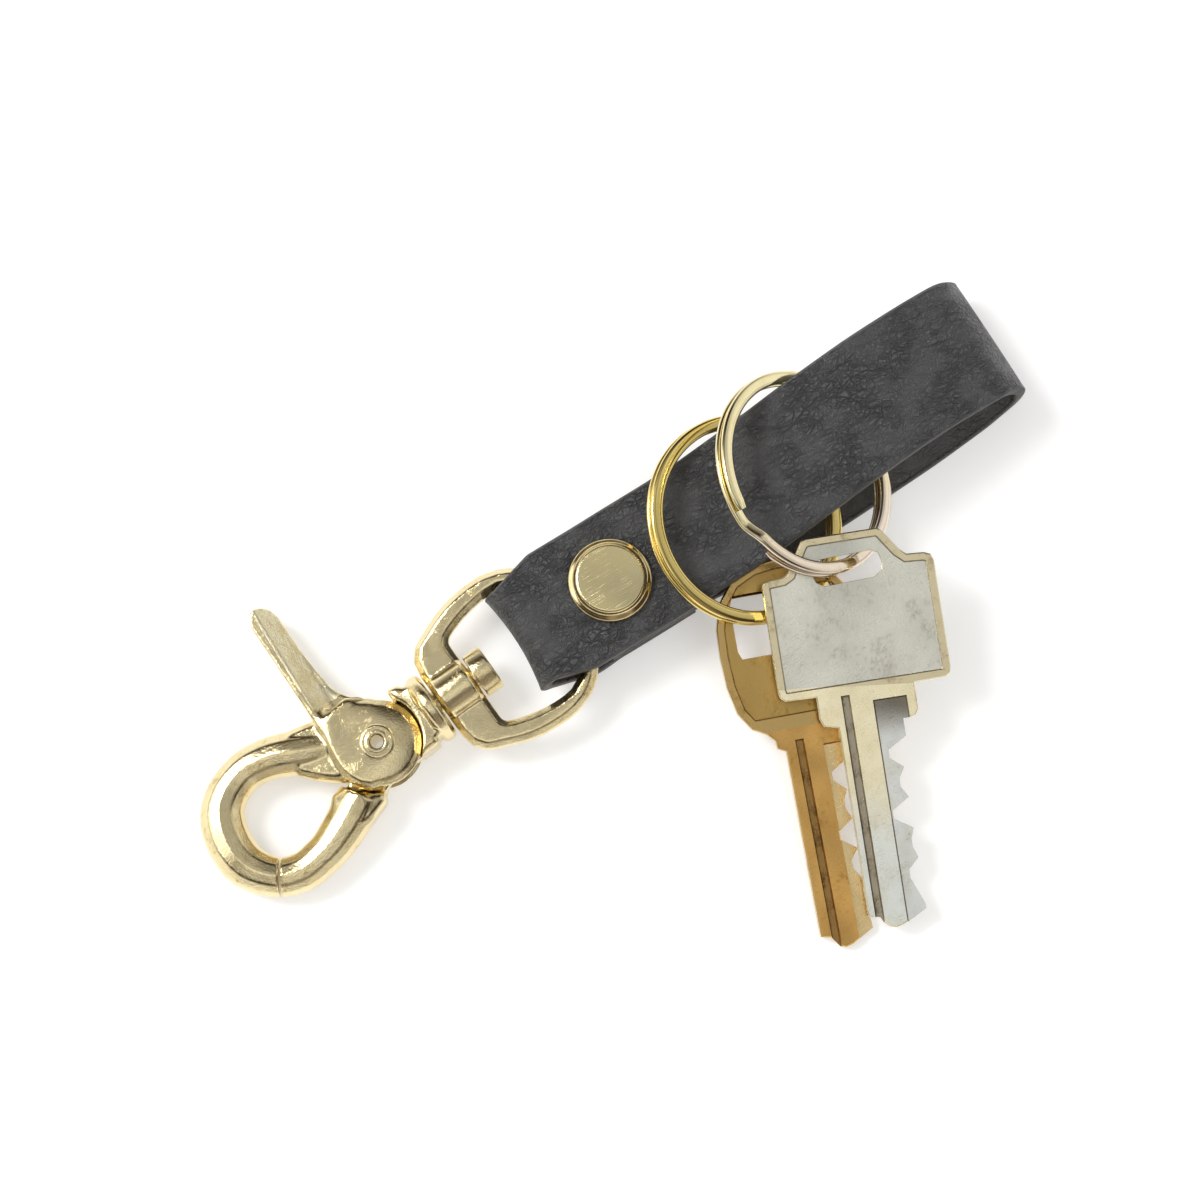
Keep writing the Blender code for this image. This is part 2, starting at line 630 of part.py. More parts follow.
def lever_blank(parent):
    # The thumb lever's plan, cut to a section with a narrow bright strip and a pad sloping to a rib.
    plan = scaled(LEVER_PLAN_SHARES, CHEEK_DIAMETER / 2, LEVER_REACH)
    half = LEVER_DEPTH / 2
    blank = flat_solid("thumb_lever", [plan], half, parent)
    left = LEVER_PLAN_SHARES[3][0] * CHEEK_DIAMETER / 2
    front = left - LEVER_WIDTH
    edge = left + LEVER_STRIP
    back = left + LEVER_WIDTH
    section = [
        (front, -half), (edge, -half), (back, -LEVER_RIB / 2), (back + LEVER_WIDTH, -LEVER_RIB / 2),
        (back + LEVER_WIDTH, LEVER_RIB / 2), (back, LEVER_RIB / 2), (edge, half), (front, half)]
    keep = flat_solid("section", [section], LEVER_REACH, parent, (0, LEVER_REACH, 0))
    keep.rotation_euler = (math.pi / 2, 0, math.radians(-LEVER_LEAN_DEGREES))
    boolean(blank, keep, "INTERSECT")
    return blank


def make_jaw_lever(parent, gold):
    cheek = (BODY_THICKNESS - HUB_THICKNESS) / 2 - RUN_GAP
    lift = BODY_THICKNESS / 2 - cheek / 2
    lever = jaw_tube("jaw_lever", MOVING_JAW_SHARES, parent)
    finish(lever, gold)
    boolean(lever, jaw_split(parent, 1), "DIFFERENCE")
    for side in (1, -1):
        place = (0, 0, side * lift)
        plate = flat_solid("cheek", [cheek_outline()], cheek / 2, parent, place, edge=CHEEK_EDGE)
        boolean(lever, plate, "UNION")
    boolean(lever, jaw_root("jaw_root", JAW_ROOT_SHARES, parent), "UNION")
    boolean(lever, lever_blank(parent), "UNION")
    # The slot in which the body's hub and web lie
    slot = HUB_THICKNESS + 2 * RUN_GAP
    hub = cylinder("hub_slot", HUB_DIAMETER / 2 + RUN_GAP, slot, parent)
    boolean(lever, hub, "DIFFERENCE")
    web = inset(scaled(WEB_SHARES, HUB_DIAMETER / 2, HUB_DIAMETER / 2), -RUN_GAP)
    boolean(lever, flat_solid("web_slot", [web], slot / 2, parent), "DIFFERENCE")
    bore = cylinder("bore", RIVET_SHANK_DIAMETER / 2 + SEAT_GAP, BODY_THICKNESS + CUT_OVERRUN, parent)
    boolean(lever, bore, "DIFFERENCE")
    leg_hole = cylinder("leg_hole", SPRING_WIRE / 2 + SEAT_GAP, 2 * SPRING_WIRE + cheek, parent,
                        (-SPRING_MEAN_RADIUS, 0, HUB_THICKNESS / 2 + RUN_GAP))
    boolean(lever, leg_hole, "DIFFERENCE")
    return lever


def make_pivot_rivet(parent, gold):
    under = BODY_THICKNESS / 2 + SEAT_GAP
    top = under + RIVET_HEAD_HEIGHT
    head = RIVET_HEAD_DIAMETER / 2
    shank = RIVET_SHANK_DIAMETER / 2
    bore = RIVET_BORE / 2
    edge = RIVET_HEAD_HEIGHT / 2
    profile = (
        (bore + edge, top), (head - edge, top), (head, under), (shank, under), (shank, -under),
        (head, -under), (head - edge, -top), (bore + edge, -top), (bore, -top + edge), (bore, top - edge))
    return finish(turned("pivot_rivet", profile, parent, closed=True), gold)


def make_jaw_spring(parent, steel):
    # One leg lies in the body's slot, the other stands in the cheek's hole.
    radius = SPRING_MEAN_RADIUS
    start = SPRING_POCKET_FLOOR - HUB_THICKNESS / 2 + SPRING_WIRE / 2 + SEAT_GAP
    points = [(SPRING_LEG + radius, -radius, start), (SPRING_LEG, -radius, start)]
    for i in range(SPRING_POINTS + 1):
        turned_by = SPRING_TURNS * i / SPRING_POINTS
        angle = -math.pi / 2 - 2 * math.pi * turned_by
        height = start + SPRING_PITCH * turned_by
        points.append((radius * math.cos(angle), radius * math.sin(angle), height))
    last = points[-1]
    points.append((last[0], last[1], HUB_THICKNESS / 2 + RUN_GAP + SPRING_WIRE))
    gap = SPRING_PITCH - SPRING_WIRE
    print(f"jaw_spring least gap to itself {gap * 1000:.2f} mm")
    spring = tube("jaw_spring", points, [1] * len(points), SPRING_WIRE / 2, parent, resolution=1)
    return finish(spring, steel, angle=50)


def ring_height(angle_degrees):
    # The wire lies flat for a turn, steps over to the second turn across the jog, and lies flat again.
    pitch = RING_WIRE_THICKNESS + RING_COIL_GAP
    share = (angle_degrees - 360) / RING_JOG_DEGREES + 0.5
    share = min(max(share, 0), 1)
    return pitch * (share * share * (3 - 2 * share) - 0.5)


def make_split_ring(name, parent, metal, jog_degrees):
    mean = (RING_DIAMETER - RING_RADIAL_WIDTH) / 2
    first = RING_JOG_DEGREES / 2 + RING_END_DEGREES
    last = 720 - first
    count = 2 * RING_POINTS_PER_TURN
    points = []
    for i in range(count + 1):
        degrees = first + (last - first) * i / count
        angle = math.radians(degrees + jog_degrees)
        points.append((mean * math.cos(angle), mean * math.sin(angle), ring_height(degrees)))
    gap = min(
        (Vector(a) - Vector(b)).length for i, a in enumerate(points) for b in points[i + 10:])
    print(f"{name} least gap to itself {(gap - RING_WIRE_THICKNESS) * 1000:.2f} mm")
    depth = RING_WIRE_THICKNESS / 2
    ring = tube(
        name, points, [1] * len(points), depth, parent, resolution=1,
        width=RING_RADIAL_WIDTH / 2 - depth, tilt=math.pi / 2)
    return finish(ring, metal, angle=50)


# Key outlines in shares: across the head's half width or blade width, and down the key's length
SILVER_HEAD_SHARES = (
    (-0.42, 0.0), (0.41, 0.0), (0.458, 0.008), (0.62, 0.06), (0.70, 0.076), (0.90, 0.079), (0.975, 0.086),
    (1.0, 0.104), (1.0, 0.372), (0.985, 0.388), (0.93, 0.397))
SILVER_NECK_SHARES = ((0.56, 0.399), (0.56, 0.465), (0.52, 0.48), (0.44, 0.484))
SILVER_LEFT_SHARES = (
    (-0.54, 0.475), (-0.577, 0.455), (-0.577, 0.4), (-0.93, 0.398), (-0.985, 0.388), (-1.0, 0.372),
    (-1.0, 0.108), (-0.975, 0.094), (-0.90, 0.09), (-0.75, 0.088), (-0.68, 0.08), (-0.63, 0.062),
    (-0.52, 0.02), (-0.48, 0.006))
SILVER_HOLE_SHARES = (
    (-0.41, 0.090), (-0.38, 0.070), (-0.30, 0.058), (0.30, 0.053), (0.38, 0.062), (0.41, 0.085),
    (0.39, 0.107), (0.30, 0.121), (-0.28, 0.126), (-0.37, 0.114))
BRASS_HEAD_SHARES = (
    (0.0, 0.0), (0.35, 0.008), (0.66, 0.035), (0.88, 0.085), (0.98, 0.15), (1.0, 0.22), (0.98, 0.30),
    (0.90, 0.37), (0.74, 0.415), (0.55, 0.435), (0.45, 0.455), (0.44, 0.475))
BRASS_FIELD_POINTS = 9
BRASS_HOLE_SHARES = ((0.70, 0.075), (0.74, 0.10), (0.74, 0.215), (0.70, 0.235))
SILVER_BLADE_LEFT_SHARE = -0.373
SILVER_SHOULDER_SHARE = 0.484
SILVER_MILL_SHARES = (0.405, 0.17, 0.58)
BRASS_BLADE_LEFT_SHARE = -0.33
BRASS_SHOULDER_SHARE = 0.485
BRASS_MILL_SHARES = (0.46, 0.25, 0.64)
SILVER_CUT_SHARES = (0.30, 0.20, 0.38, 0.16, 0.27)
BRASS_CUT_SHARES = (0.30, 0.18, 0.36, 0.24, 0.14)


# The first cut and the cuts' pitch as shares of the blade's run, the ridges' as shares of its width
CUT_START_SHARE = 0.16
CUT_PITCH_SHARE = 0.148
RIDGE_SHARE = 0.1
# The tip, across the blade's width from its back and up from the end as shares of the blade's run
TIP_SHARES = (
    (0.9, 0.09), (0.9, 0.07), (0.52, 0.01), (0.40, 0.0), (0.30, 0.01), (0.18, 0.06), (0.0, 0.07))


def blade_outline(shoulder, length, left, width, depths):
    # Down the bitted right side, round the tip and up the plain back.
    right = left + width
    run = length - shoulder
    first = CUT_START_SHARE * run
    pitch = CUT_PITCH_SHARE * run
    points = [(right, shoulder)]
    for i, depth in enumerate(depths):
        centre = shoulder + first + pitch * i
        bottom = right - depth * width
        ridge = right - RIDGE_SHARE * width * (i > 0)
        flank = min(pitch / 2 - CUT_FLAT / 2, right - bottom)
        points.append((ridge, centre - CUT_FLAT / 2 - flank))
        points.append((bottom, centre - CUT_FLAT / 2))
        points.append((bottom, centre + CUT_FLAT / 2))
    points += [(left + x * width, length - y * run) for x, y in TIP_SHARES]
    points.append((left, shoulder))
    return points


def place_outline(points, across, down):
    # Local Y runs from the key's tip to its head, so the outline runs down from its hanging point.
    return [(x - across, down - y) for x, y in points]


def groove(name, parent, x, top, bottom, side, width=GROOVE_WIDTH, depth=GROOVE_DEPTH):
    size = (width, top - bottom, 2 * depth)
    return box(name, size, parent, (x, (top + bottom) / 2, side * KEY_THICKNESS / 2))


def inset(points, distance):
    # The same outline drawn in by the distance on every side, or out by a negative one.
    count = len(points)
    spin = sum(points[i - 1][0] * points[i][1] - points[i][0] * points[i - 1][1] for i in range(count))
    sign = 1 if spin > 0 else -1
    result = []
    for i in range(count):
        before = (Vector(points[i]) - Vector(points[i - 1])).normalized()
        after = (Vector(points[(i + 1) % count]) - Vector(points[i])).normalized()
        inward = sign * Vector((-before.y - after.y, before.x + after.x))
        square = inward.length_squared / 2
        result.append(Vector(points[i]) + inward * distance / square)
    # An edge that is too short for the distance turns round, so its two ends become one point.
    turned_round = []
    for i in range(count):
        old = Vector(points[(i + 1) % count]) - Vector(points[i])
        turned_round.append(old.dot(result[(i + 1) % count] - result[i]) < 0)
    for i in range(count):
        if turned_round[i]:
            result[i] = (result[i] + result[(i + 1) % count]) / 2
    return [tuple(result[i]) for i in range(count) if not turned_round[i - 1]]


def cut_field(key, outline, parent):
    # The head's field lies below its border on both faces.
    for side in (1, -1):
        place = (0, 0, side * (KEY_THICKNESS / 2 + CUT_OVERRUN - FIELD_DEPTH))
        boolean(key, flat_solid("field", [outline], CUT_OVERRUN, parent, place), "DIFFERENCE")


def mill_blade(key, parent, left, width, start, tip, shares):
    # A long groove beside the back and a lower ledge along the bitted side, and one groove behind.
    end = tip - CUT_OVERRUN
    boolean(key, groove("groove", parent, left + shares[1] * width, start, end, 1), "DIFFERENCE")
    ledge = width * (1 - shares[2]) + CUT_OVERRUN
    middle = left + width * shares[2] + ledge / 2
    below = start - GROOVE_WIDTH
    boolean(key, groove("ledge", parent, middle, below, end, 1, ledge, LEDGE_DEPTH), "DIFFERENCE")
    boolean(key, groove("groove", parent, left + width / 2, start, end, -1), "DIFFERENCE")


def make_silver_key(parent, nickel, hang):
    half = SILVER_HEAD_WIDTH / 2
    across = hang[0] * half
    down = hang[1] * SILVER_LENGTH
    left = SILVER_BLADE_LEFT_SHARE * half
    width = SILVER_BLADE_WIDTH
    outline = scaled(SILVER_HEAD_SHARES + SILVER_NECK_SHARES, half, SILVER_LENGTH)
    shoulder = SILVER_SHOULDER_SHARE * SILVER_LENGTH
    outline += blade_outline(shoulder, SILVER_LENGTH, left, width, SILVER_CUT_SHARES)
    outline += scaled(SILVER_LEFT_SHARES, half, SILVER_LENGTH)
    hole = scaled(SILVER_HOLE_SHARES, half, SILVER_LENGTH)
    outlines = [place_outline(points, across, down) for points in (outline, hole)]
    key = flat_solid("silver_key", outlines, KEY_THICKNESS / 2, parent, edge=KEY_EDGE)
    finish(key, nickel)
    head = scaled(SILVER_HEAD_SHARES + SILVER_LEFT_SHARES[3:], half, SILVER_LENGTH)
    cut_field(key, inset(place_outline(head, across, down), FIELD_BORDER), parent)
    start = down - SILVER_MILL_SHARES[0] * SILVER_LENGTH
    mill_blade(key, parent, left - across, width, start, down - SILVER_LENGTH, SILVER_MILL_SHARES)
    return key


def make_brass_key(parent, brass, hang):
    half = BRASS_HEAD_WIDTH / 2
    across = hang[0] * half
    down = hang[1] * BRASS_LENGTH
    left = BRASS_BLADE_LEFT_SHARE * half
    width = BRASS_BLADE_WIDTH
    head = scaled(BRASS_HEAD_SHARES, half, BRASS_LENGTH)
    left_side = [(-x, y) for x, y in reversed(head[1:])]
    shoulder = BRASS_SHOULDER_SHARE * BRASS_LENGTH
    blade = blade_outline(shoulder, BRASS_LENGTH, left, width, BRASS_CUT_SHARES)
    outline = head + blade + left_side
    corner = scaled(BRASS_HOLE_SHARES, half, BRASS_LENGTH)
    hole = corner + [(-x, y) for x, y in reversed(corner)]
    outlines = [place_outline(points, across, down) for points in (outline, hole)]
    key = flat_solid("brass_key", outlines, KEY_THICKNESS / 2, parent, edge=KEY_EDGE)
    finish(key, brass)
    field = place_outline(head[:BRASS_FIELD_POINTS] + left_side[-BRASS_FIELD_POINTS + 1:], across, down)
    cut_field(key, inset(field, FIELD_BORDER), parent)
    start = down - BRASS_MILL_SHARES[0] * BRASS_LENGTH
    mill_blade(key, parent, left - across, width, start, down - BRASS_LENGTH, BRASS_MILL_SHARES)
    return key


def ring_frame(name, parent, centre, slope_x, slope_y):
    # An empty at the ring's centre whose local Z is the ring's own axis.
    empty = frame_empty(name, parent, centre)
    normal = Vector((-slope_x, -slope_y, 1)).normalized()
    across = Vector((1, 0, slope_x)).normalized()
    along = normal.cross(across)
    empty.rotation_euler = Matrix((across, along, normal)).transposed().to_euler()
    return empty


def point_on_ring(centre, slope_x, slope_y, degrees):
    mean = (RING_DIAMETER - RING_RADIAL_WIDTH) / 2
    normal = Vector((-slope_x, -slope_y, 1)).normalized()
    across = Vector((1, 0, slope_x)).normalized()
    along = normal.cross(across)
    angle = math.radians(degrees)
    return Vector(centre) + mean * (math.cos(angle) * across + math.sin(angle) * along)


def key_frame(name, parent, place, heading_degrees, drop_degrees, roll_degrees):
    # Local Y points from the key's tip to its head; the tip drops toward the floor.
    empty = frame_empty(name, parent, place)
    turn = Matrix.Rotation(math.radians(heading_degrees), 3, "Z")
    drop = Matrix.Rotation(math.radians(drop_degrees), 3, "X")
    roll = Matrix.Rotation(math.radians(roll_degrees), 3, "Y")
    empty.rotation_euler = (turn @ drop @ roll).to_euler()
    return empty


# Where the rings lie: centres as shares of the loop's reach, the strap's width and the ring, and slopes
BRASS_RING_PLACE_SHARES = (0.3185, -0.131, 0.3071)
BRASS_RING_SLOPES = (-0.391, 0.24)
BRASS_RING_JOG_PLACE = 20
BRASS_KEY_RING_DEGREES = -95.75
BRASS_KEY_HEADING = -21.5
BRASS_KEY_DROP = 7.2
BRASS_KEY_ROLL = 2.5
BRASS_KEY_HANG_SHARES = (-0.028, 0.1347)
NICKEL_RING_PLACE_SHARES = (0.4727, -0.0964, 0.4181)
NICKEL_RING_SLOPES = (-0.696, 0.235)
NICKEL_RING_JOG_PLACE = 198
SILVER_KEY_RING_DEGREES = -99
SILVER_KEY_HEADING = -23.0
SILVER_KEY_DROP = 9.7
SILVER_KEY_ROLL = -2
SILVER_KEY_HANG_SHARES = (-0.1104, 0.0848)


def ring_centre(shares):
    return (shares[0] * LOOP_REACH, shares[1] * STRAP_WIDTH, shares[2] * RING_DIAMETER)


def make_rings_and_keys(parent, metals):
    yellow, pale, nickel, bronze = metals
    brass_centre = ring_centre(BRASS_RING_PLACE_SHARES)
    nickel_centre = ring_centre(NICKEL_RING_PLACE_SHARES)
    first = ring_frame("brass_ring_axis", parent, brass_centre, *BRASS_RING_SLOPES)
    second = ring_frame("nickel_ring_axis", parent, nickel_centre, *NICKEL_RING_SLOPES)
    make_split_ring("brass_ring", first, yellow, BRASS_RING_JOG_PLACE)
    make_split_ring("nickel_ring", second, pale, NICKEL_RING_JOG_PLACE)
    hang = point_on_ring(brass_centre, *BRASS_RING_SLOPES, BRASS_KEY_RING_DEGREES)
    frame = key_frame("brass_key_axis", parent, hang, BRASS_KEY_HEADING, BRASS_KEY_DROP, BRASS_KEY_ROLL)
    make_brass_key(frame, bronze, BRASS_KEY_HANG_SHARES)
    hang = point_on_ring(nickel_centre, *NICKEL_RING_SLOPES, SILVER_KEY_RING_DEGREES)
    frame = key_frame("silver_key_axis", parent, hang, SILVER_KEY_HEADING, SILVER_KEY_DROP, SILVER_KEY_ROLL)
    make_silver_key(frame, nickel, SILVER_KEY_HANG_SHARES)


def settle_origin(root):
    # The origin comes to the middle of the belt's box, on the floor.
    bpy.context.view_layer.update()
    graph = bpy.context.evaluated_depsgraph_get()
    corners = []
    for thing in model.objects:
        if thing.type == "MESH":
            solid = thing.evaluated_get(graph)
            corners += [solid.matrix_world @ v.co for v in solid.data.vertices]
    low = Vector(min(c[i] for c in corners) for i in range(3))
    high = Vector(max(c[i] for c in corners) for i in range(3))
    root.location = (-(low.x + high.x) / 2, -(low.y + high.y) / 2, -low.z)
    print("size in mm", [round(1000 * s, 2) for s in high - low])


def main():
    clear_scene()
    leather = principled("black_leather", (0.045, 0.047, 0.05), 0.55, 0)
    gold = principled("pale_gold_plate", (0.83, 0.72, 0.42), 0.22, 1)
    yellow = principled("yellow_brass", (0.85, 0.66, 0.22), 0.25, 1)
    pale = principled("pale_nickel_gold", (0.80, 0.74, 0.60), 0.25, 1)
    nickel = principled("nickel_silver", (0.72, 0.71, 0.66), 0.38, 1)
    bronze = principled("worn_brass", (0.48, 0.34, 0.13), 0.42, 1)
    steel = principled("spring_steel", (0.55, 0.55, 0.55), 0.35, 1)

    root = frame_empty("key_belt_origin", None, (0, 0, 0))
    make_strap(root, leather)
    make_binder_post(root, gold)
    make_binder_screw(root, gold)

    turn = math.radians(SNAP_TURN_DEGREES)
    bar = frame_empty("eye_bar_axis", root, (-BAR_FROM_RIVET, 0, bar_height()))
    bar.rotation_euler = (0, -snap_lean(), turn)
    make_swivel_eye(bar, gold)
    bar_to_pivot = EYE_LENGTH - BAR_DIAMETER / 2 + eye_base_x()
    pivot = frame_empty("jaw_pivot_axis", bar, (-bar_to_pivot, 0, 0))
    make_swivel_pin(pivot, gold)
    make_snap_body(pivot, gold)
    make_jaw_lever(pivot, gold)
    make_pivot_rivet(pivot, gold)
    make_jaw_spring(pivot, steel)

    make_rings_and_keys(root, (yellow, pale, nickel, bronze))
    settle_origin(root)


main()
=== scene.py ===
import json
import math
import bmesh
import bpy
from mathutils import Matrix, Vector, noise


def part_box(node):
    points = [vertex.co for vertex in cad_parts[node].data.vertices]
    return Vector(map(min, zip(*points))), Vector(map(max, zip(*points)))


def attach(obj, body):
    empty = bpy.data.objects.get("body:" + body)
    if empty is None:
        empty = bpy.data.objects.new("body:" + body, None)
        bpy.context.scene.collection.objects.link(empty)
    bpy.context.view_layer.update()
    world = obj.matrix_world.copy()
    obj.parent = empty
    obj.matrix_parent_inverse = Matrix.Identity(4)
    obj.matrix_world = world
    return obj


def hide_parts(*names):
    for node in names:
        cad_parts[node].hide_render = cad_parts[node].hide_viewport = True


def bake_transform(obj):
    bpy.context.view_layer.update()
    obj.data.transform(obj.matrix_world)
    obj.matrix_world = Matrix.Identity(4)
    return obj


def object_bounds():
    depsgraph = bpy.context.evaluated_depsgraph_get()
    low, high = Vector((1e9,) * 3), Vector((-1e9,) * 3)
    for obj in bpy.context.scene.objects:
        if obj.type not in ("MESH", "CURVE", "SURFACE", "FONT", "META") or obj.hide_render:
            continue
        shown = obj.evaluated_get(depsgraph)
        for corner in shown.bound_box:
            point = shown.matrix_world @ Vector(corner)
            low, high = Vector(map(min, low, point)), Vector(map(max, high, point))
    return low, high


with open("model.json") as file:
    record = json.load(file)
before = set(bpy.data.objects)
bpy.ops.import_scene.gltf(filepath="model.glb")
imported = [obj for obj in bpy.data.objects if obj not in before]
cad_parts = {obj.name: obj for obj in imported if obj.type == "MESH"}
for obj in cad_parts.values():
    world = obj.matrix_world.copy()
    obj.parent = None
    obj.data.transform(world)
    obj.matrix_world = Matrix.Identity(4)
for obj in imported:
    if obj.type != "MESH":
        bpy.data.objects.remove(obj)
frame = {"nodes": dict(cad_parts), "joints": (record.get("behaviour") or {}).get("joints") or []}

# Key belt, dressed for the photo's view. Metres, +Z up, the strap runs along X.
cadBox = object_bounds()
print("frame loaded")

photoView = {
    "turn": math.radians(-32), "height": math.radians(79), "distance": 0.6,
    "metresWide": 0.17857, "look": (-0.001896, 0.018514, 0.012718), "film": 36,
}

materials = {}


def newTree(name):
    tree = bpy.data.node_groups.new(name, "ShaderNodeTree")
    tree.nodes.new("NodeGroupInput").location = (-900, 0)
    tree.nodes.new("NodeGroupOutput").location = (700, 0)
    return tree


def addSockets(tree, inputs, outputs):
    for name, kind, value in inputs:
        socket = tree.interface.new_socket(name=name, in_out="INPUT", socket_type=kind)
        if value is not None:
            socket.default_value = value
    for name, kind in outputs:
        tree.interface.new_socket(name=name, in_out="OUTPUT", socket_type=kind)
    return tree.nodes["Group Input"], tree.nodes["Group Output"]


def addNode(tree, kind, **values):
    # a value is a setting of the node, another node's output, or a number for an input
    node = tree.nodes.new(kind)
    for name, value in values.items():
        if hasattr(node, name):
            setattr(node, name, value)
        elif isinstance(value, bpy.types.NodeSocket):
            tree.links.new(value, node.inputs[name])
        else:
            node.inputs[name].default_value = value
    return node


def mathNode(tree, operation, a, b=None, c=None, clamp=False):
    node = tree.nodes.new("ShaderNodeMath")
    node.operation = operation
    node.use_clamp = clamp
    for socket, value in zip(node.inputs, (a, b, c)):
        if value is None:
            continue
        if isinstance(value, (int, float)):
            socket.default_value = value
        else:
            tree.links.new(value, socket)
    return node.outputs[0]


def rampNode(tree, source, low, high, lowValue=0.0, highValue=1.0):
    node = tree.nodes.new("ShaderNodeMapRange")
    node.interpolation_type = "SMOOTHSTEP"
    tree.links.new(source, node.inputs[0])
    for socket, value in zip(node.inputs[1:5], (low, high, lowValue, highValue)):
        socket.default_value = value
    return node.outputs[0]


def mixColour(tree, factor, a, b, blend="MIX"):
    node = tree.nodes.new("ShaderNodeMix")
    node.data_type = "RGBA"
    node.blend_type = blend
    if isinstance(factor, (int, float)):
        node.inputs[0].default_value = factor
    else:
        tree.links.new(factor, node.inputs[0])
    for socket, value in ((node.inputs[6], a), (node.inputs[7], b)):
        if isinstance(value, tuple):
            socket.default_value = (*value, 1)
        else:
            tree.links.new(value, socket)
    return node.outputs[2]


def stretchedPlace(tree, source, turn, stretch, shift=(0, 0, 0)):
    # turns the pattern and draws it out along its own first axis
    place = addNode(tree, "ShaderNodeMapping", Vector=source, Rotation=(0, 0, turn),
                    Scale=(stretch, 1, 1), Location=shift)
    return place.outputs[0]


def makeSpeckleGroup():
    # small soft spots where a plated surface has dulled
    tree = newTree("platingSpeckle")
    start, end = addSockets(
        tree, (("Vector", "NodeSocketVector", None), ("Scale", "NodeSocketFloat", 900.0),
               ("Cover", "NodeSocketFloat", 0.5)),
        (("Mask", "NodeSocketFloat"), ("Cloud", "NodeSocketFloat"), ("Grain", "NodeSocketFloat")))
    vector, scale = start.outputs["Vector"], start.outputs["Scale"]
    fine = addNode(tree, "ShaderNodeTexNoise", Detail=4.0, Roughness=0.65, Vector=vector, Scale=scale)
    broad = addNode(tree, "ShaderNodeTexNoise", Detail=3.0, Roughness=0.55, Vector=vector,
                    Scale=mathNode(tree, "MULTIPLY", scale, 0.17))
    both = mathNode(tree, "MULTIPLY_ADD", broad.outputs["Fac"], 0.55, mathNode(
        tree, "MULTIPLY", fine.outputs["Fac"], 0.45))
    edge = mathNode(tree, "SUBTRACT", 0.78, mathNode(tree, "MULTIPLY", start.outputs["Cover"], 0.5))
    high = mathNode(tree, "SUBTRACT", both, edge)
    tree.links.new(mathNode(tree, "MULTIPLY", high, 9.0, clamp=True), end.inputs["Mask"])
    tree.links.new(broad.outputs["Fac"], end.inputs["Cloud"])
    grain = addNode(tree, "ShaderNodeTexNoise", Detail=2.0, Roughness=0.6, Vector=vector,
                    Scale=mathNode(tree, "MULTIPLY", scale, 1.7))
    tree.links.new(grain.outputs["Fac"], end.inputs["Grain"])
    return tree


def makeScratchGroup():
    # long hairline scratches in three directions, shown in patches
    tree = newTree("handScratches")
    start, end = addSockets(
        tree, (("Vector", "NodeSocketVector", None), ("Scale", "NodeSocketFloat", 300.0),
               ("Cover", "NodeSocketFloat", 0.4)), (("Mask", "NodeSocketFloat"),))
    vector, scale = start.outputs["Vector"], start.outputs["Scale"]
    total = None
    for turn, stretch in ((0.4, 0.012), (1.7, 0.009), (2.6, 0.015)):
        place = stretchedPlace(tree, vector, turn, stretch, (turn, turn * 2, 0))
        lines = addNode(tree, "ShaderNodeTexNoise", Detail=0.0, Vector=place,
                        Scale=mathNode(tree, "MULTIPLY", scale, 24.0))
        line = rampNode(tree, lines.outputs["Fac"], 0.70, 0.78)
        total = line if total is None else mathNode(tree, "MAXIMUM", total, line)
    patches = addNode(tree, "ShaderNodeTexNoise", Detail=2.0, Vector=vector, Scale=scale)
    shown = mathNode(tree, "MULTIPLY", total, rampNode(tree, patches.outputs["Fac"], 0.4, 0.62))
    tree.links.new(mathNode(tree, "MULTIPLY", shown, start.outputs["Cover"]), end.inputs["Mask"])
    return tree


# folds and net: turn, stretch, size beside the wrinkle scale, line width, weight
creaseSizes = {
    "folds": ((0.75, 0.45, 1.1, 0.022, 1.0), (-0.5, 0.5, 1.9, 0.03, 0.8)),
    "net": ((0.9, 0.5, 3.6, 0.10, 0.75), (-0.4, 0.6, 6.4, 0.12, 0.5)),
    "bendSize": 3.0, "bend": 0.0011, "pebbleSize": 6.0, "patchScale": 170.0,
    "pebbleLift": 0.55, "creaseDrop": 0.75, "patchLift": 0.8,
}


